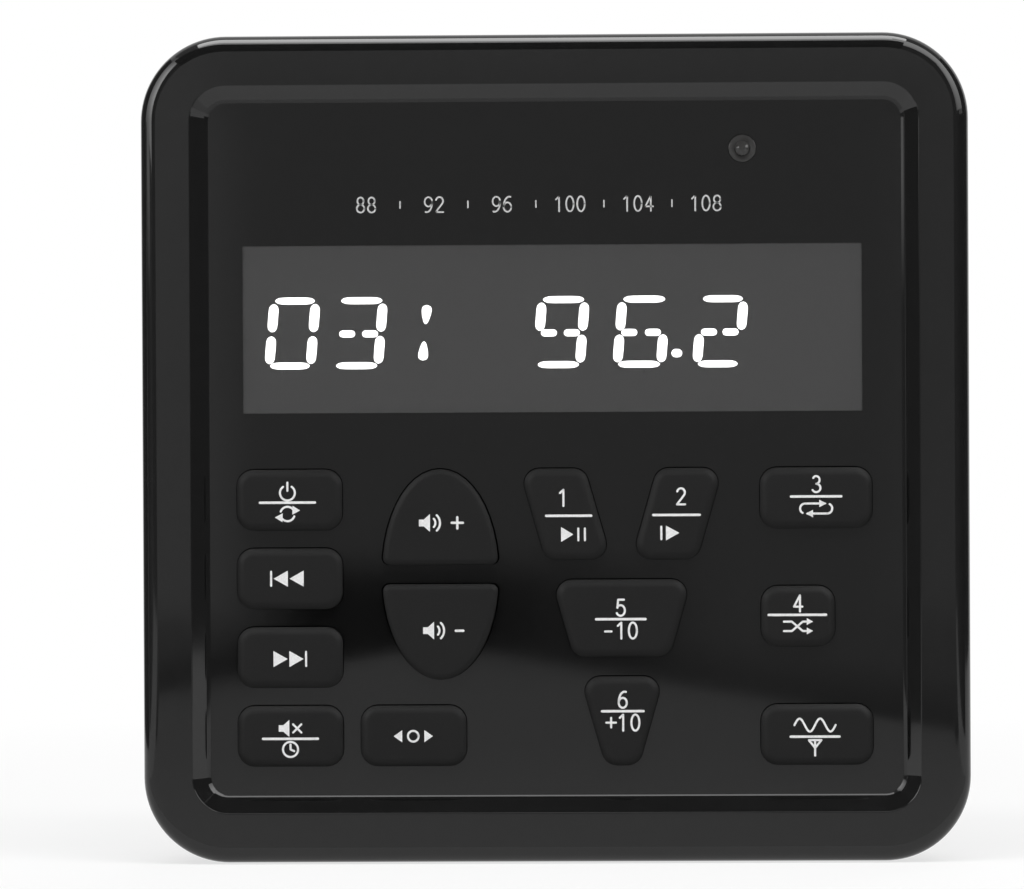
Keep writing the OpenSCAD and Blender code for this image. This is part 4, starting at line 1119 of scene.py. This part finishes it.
def card(name, corner, across, along, glow):
    """A card that only reflections see. Its glow is a number, rows of ramps to multiply, or a
    function that makes the number from the card's tree and the place on it."""
    made = flat(name, corner, across, along)
    made.visible_camera = made.visible_diffuse = made.visible_shadow = False
    made.visible_transmission = made.visible_volume_scatter = False
    face, tree, _ = material(name)
    if not isinstance(glow, float):
        spot = add(tree, "ShaderNodeSeparateXYZ", {0: place_on(tree)}).outputs
        glow = glow(tree, spot) if callable(glow) else ramps(tree, spot, glow)
    shine = add(tree, "ShaderNodeEmission", {"Color": grey(1.0), "Strength": glow}).outputs[0]
    tree.links.new(shine, tree.nodes["Material Output"].inputs["Surface"])
    made.data.materials.append(face)
    return made


# %% Glow of the front, the ground and the window
SHAPE = [("X", -0.112, -0.094), ("X", -0.04, 0.03, 1, 0)]
SHAPE_TOP = [("Z", -0.049, -0.038, 1, 0)]
BORDER = [("X", -0.112, -0.128, 0, 0.27), ("X", 0.07, 0.089, 0, 0.11),
          ("Z", 0.085, 0.108, 0, 0.18)]
OUTER = [("X", -0.19, -0.25), ("X", 0.16, 0.22), ("Z", 0.17, 0.23)]
FRONT_LEVEL, OUTER_LEVEL = 0.385, 0.24
SHAPE_X, BENDS, FOOT_Y, FOOT_END, FOOT_EDGE = -0.048, (3.6, -5.0), -0.77, -0.3, 0.012
NEAR_GROUND, FAR_GROUND = [("Y", -0.3, -0.03, 0.66, 0.8)], (0, 0.3, 0.14, 0.37)
WINDOW = [("Y", -0.41, -0.39), ("Y", -0.13, -0.11, 1, 0), ("Z", 0.028, 0.056)]
WINDOW_WALL, WINDOW_LEVEL = [("Y", -0.5, -0.1, 0.36, 0.2)], 1.7


def front_glow(tree, spot):
    """Grey in the middle, lighter in a border round it, dim further out. The dark shape, which is
    full on its left and fades from the middle on, stands below."""
    border = math(tree, "ADD", ramps(tree, spot, BORDER, "MAXIMUM"), FRONT_LEVEL)
    level = ramp(tree, ramps(tree, spot, OUTER, "MAXIMUM"), 0, 1, border, OUTER_LEVEL)
    dark = ramps(tree, spot, SHAPE + SHAPE_TOP)
    return math(tree, "MULTIPLY", level, math(tree, "SUBTRACT", 1, dark))


def ground_glow(tree, spot):
    """Bright up to the foot of the dark shape, a line that bends away on both sides. Past it, dim
    at first and lighter further off, and dark where the shape stands."""
    aside = math(tree, "ADD", spot["X"], -SHAPE_X)
    bend = math(tree, "MAXIMUM", *(math(tree, "MULTIPLY", aside, slope) for slope in BENDS))
    foot = math(tree, "MINIMUM", math(tree, "ADD", bend, FOOT_Y), FOOT_END)
    past = math(tree, "SUBTRACT", foot, spot["Y"])
    clear = math(tree, "SUBTRACT", 1, ramps(tree, spot, SHAPE))
    dim = math(tree, "MULTIPLY", ramp(tree, past, *FAR_GROUND), clear)
    return ramp(tree, past, -FOOT_EDGE, FOOT_EDGE, ramps(tree, spot, NEAR_GROUND), dim)


def window_glow(tree, spot):
    """A lighter wall, and a small bright window in its upper half that fades downwards."""
    wall = ramps(tree, spot, WINDOW_WALL)
    return ramp(tree, ramps(tree, spot, WINDOW), 0, 1, wall, WINDOW_LEVEL)


# %% [markdown]
# ## Setting up the cards
# A card is a corner, two edges and a glow. The boxes are brightest towards the camera on the left
# and beside the object on the right, and both fade towards the foot. The ground card lies just
# above the floor and ends in front of the object.

# %% Cards
CARD_Y, GROUND_LIFT, DARK_WALL, CEILING, FLAG = -1.0, 0.0005, 0.14, 0.4, 0.1
WALL_GLOW, STRIP_GLOW = [("Y", -0.6, -0.12, 0.24, 0.14)], [("Y", -0.28, -0.2, 4.0, 9.0)]
LEFT_GLOW = [("Z", 0.06, 0.25, 0.5, 1), ("Z", 0.5, 0.72, 1, 0.4), ("Y", -0.6, -0.1, 5.8, 2.2)]
RIGHT_GLOW = [("Z", 0.1, 0.4, 0.5, 1), ("Y", -0.85, -0.45, 2.2, 4.3)]
CARDS = {
    "front_card": ((-1.3, CARD_Y, FLOOR_Z), (2.6, 0, 0), (0, 0, 1.4), front_glow),
    "ground_card": ((-0.2, CARD_Y, FLOOR_Z + GROUND_LIFT), (0.4, 0, 0), (0, 0.975, 0), ground_glow),
    "wall_left": ((-0.38, -0.08, FLOOR_Z), (-0.37, -0.87, 0), (0, 0, 0.124), window_glow),
    "wall_left_back": ((-0.32, -0.055, FLOOR_Z), (0, 0.355, 0), (0, 0, 0.4), DARK_WALL),
    "wall_right": ((0.36, CARD_Y, FLOOR_Z), (0, 0.935, 0), (0, 0, 0.133), WALL_GLOW),
    "wall_right_back": ((0.7, -0.14, FLOOR_Z), (0, 0.59, 0), (0, 0, 0.78), DARK_WALL),
    "top_strip": ((-0.31, -0.42, 0.67), (0.56, 0, 0), (0, 0.52, 0), STRIP_GLOW),
    "side_box_left": ((-0.6, -0.85, 0.074), (0, 0.75, 0), (0, 0, 0.676), LEFT_GLOW),
    "side_box_right": ((0.6, -0.85, 0.13), (0, 0.72, 0), (0, 0, 0.47), RIGHT_GLOW),
    "top_box_right": ((0.13, -0.75, 0.6), (0.47, 0, 0), (0, 0.62, 0), RIGHT_GLOW),
    "ceiling_left": ((-0.62, -0.85, 0.75), (0.3, 0, 0), (0, 1.15, 0), CEILING),
    "ceiling_right": ((0.26, -0.16, 0.75), (0.46, 0, 0), (0, 0.46, 0), CEILING),
    "flag_above": ((-0.0575, -0.05, 0.0595), (0.1075, 0, 0), (0, 0.037, 0), FLAG),
}
cards = [card(name, *row) for name, row in CARDS.items()]
print("cards:", len(cards))

# %% [markdown]
# ## Measuring
# Dressing must not change the object's size. The box of the CAD model, taken before any dressing,
# is printed in millimetres.

# %% Measure and finish
print("CAD box mm", [[round(v / MM, 2) for v in c] for c in cad_box])
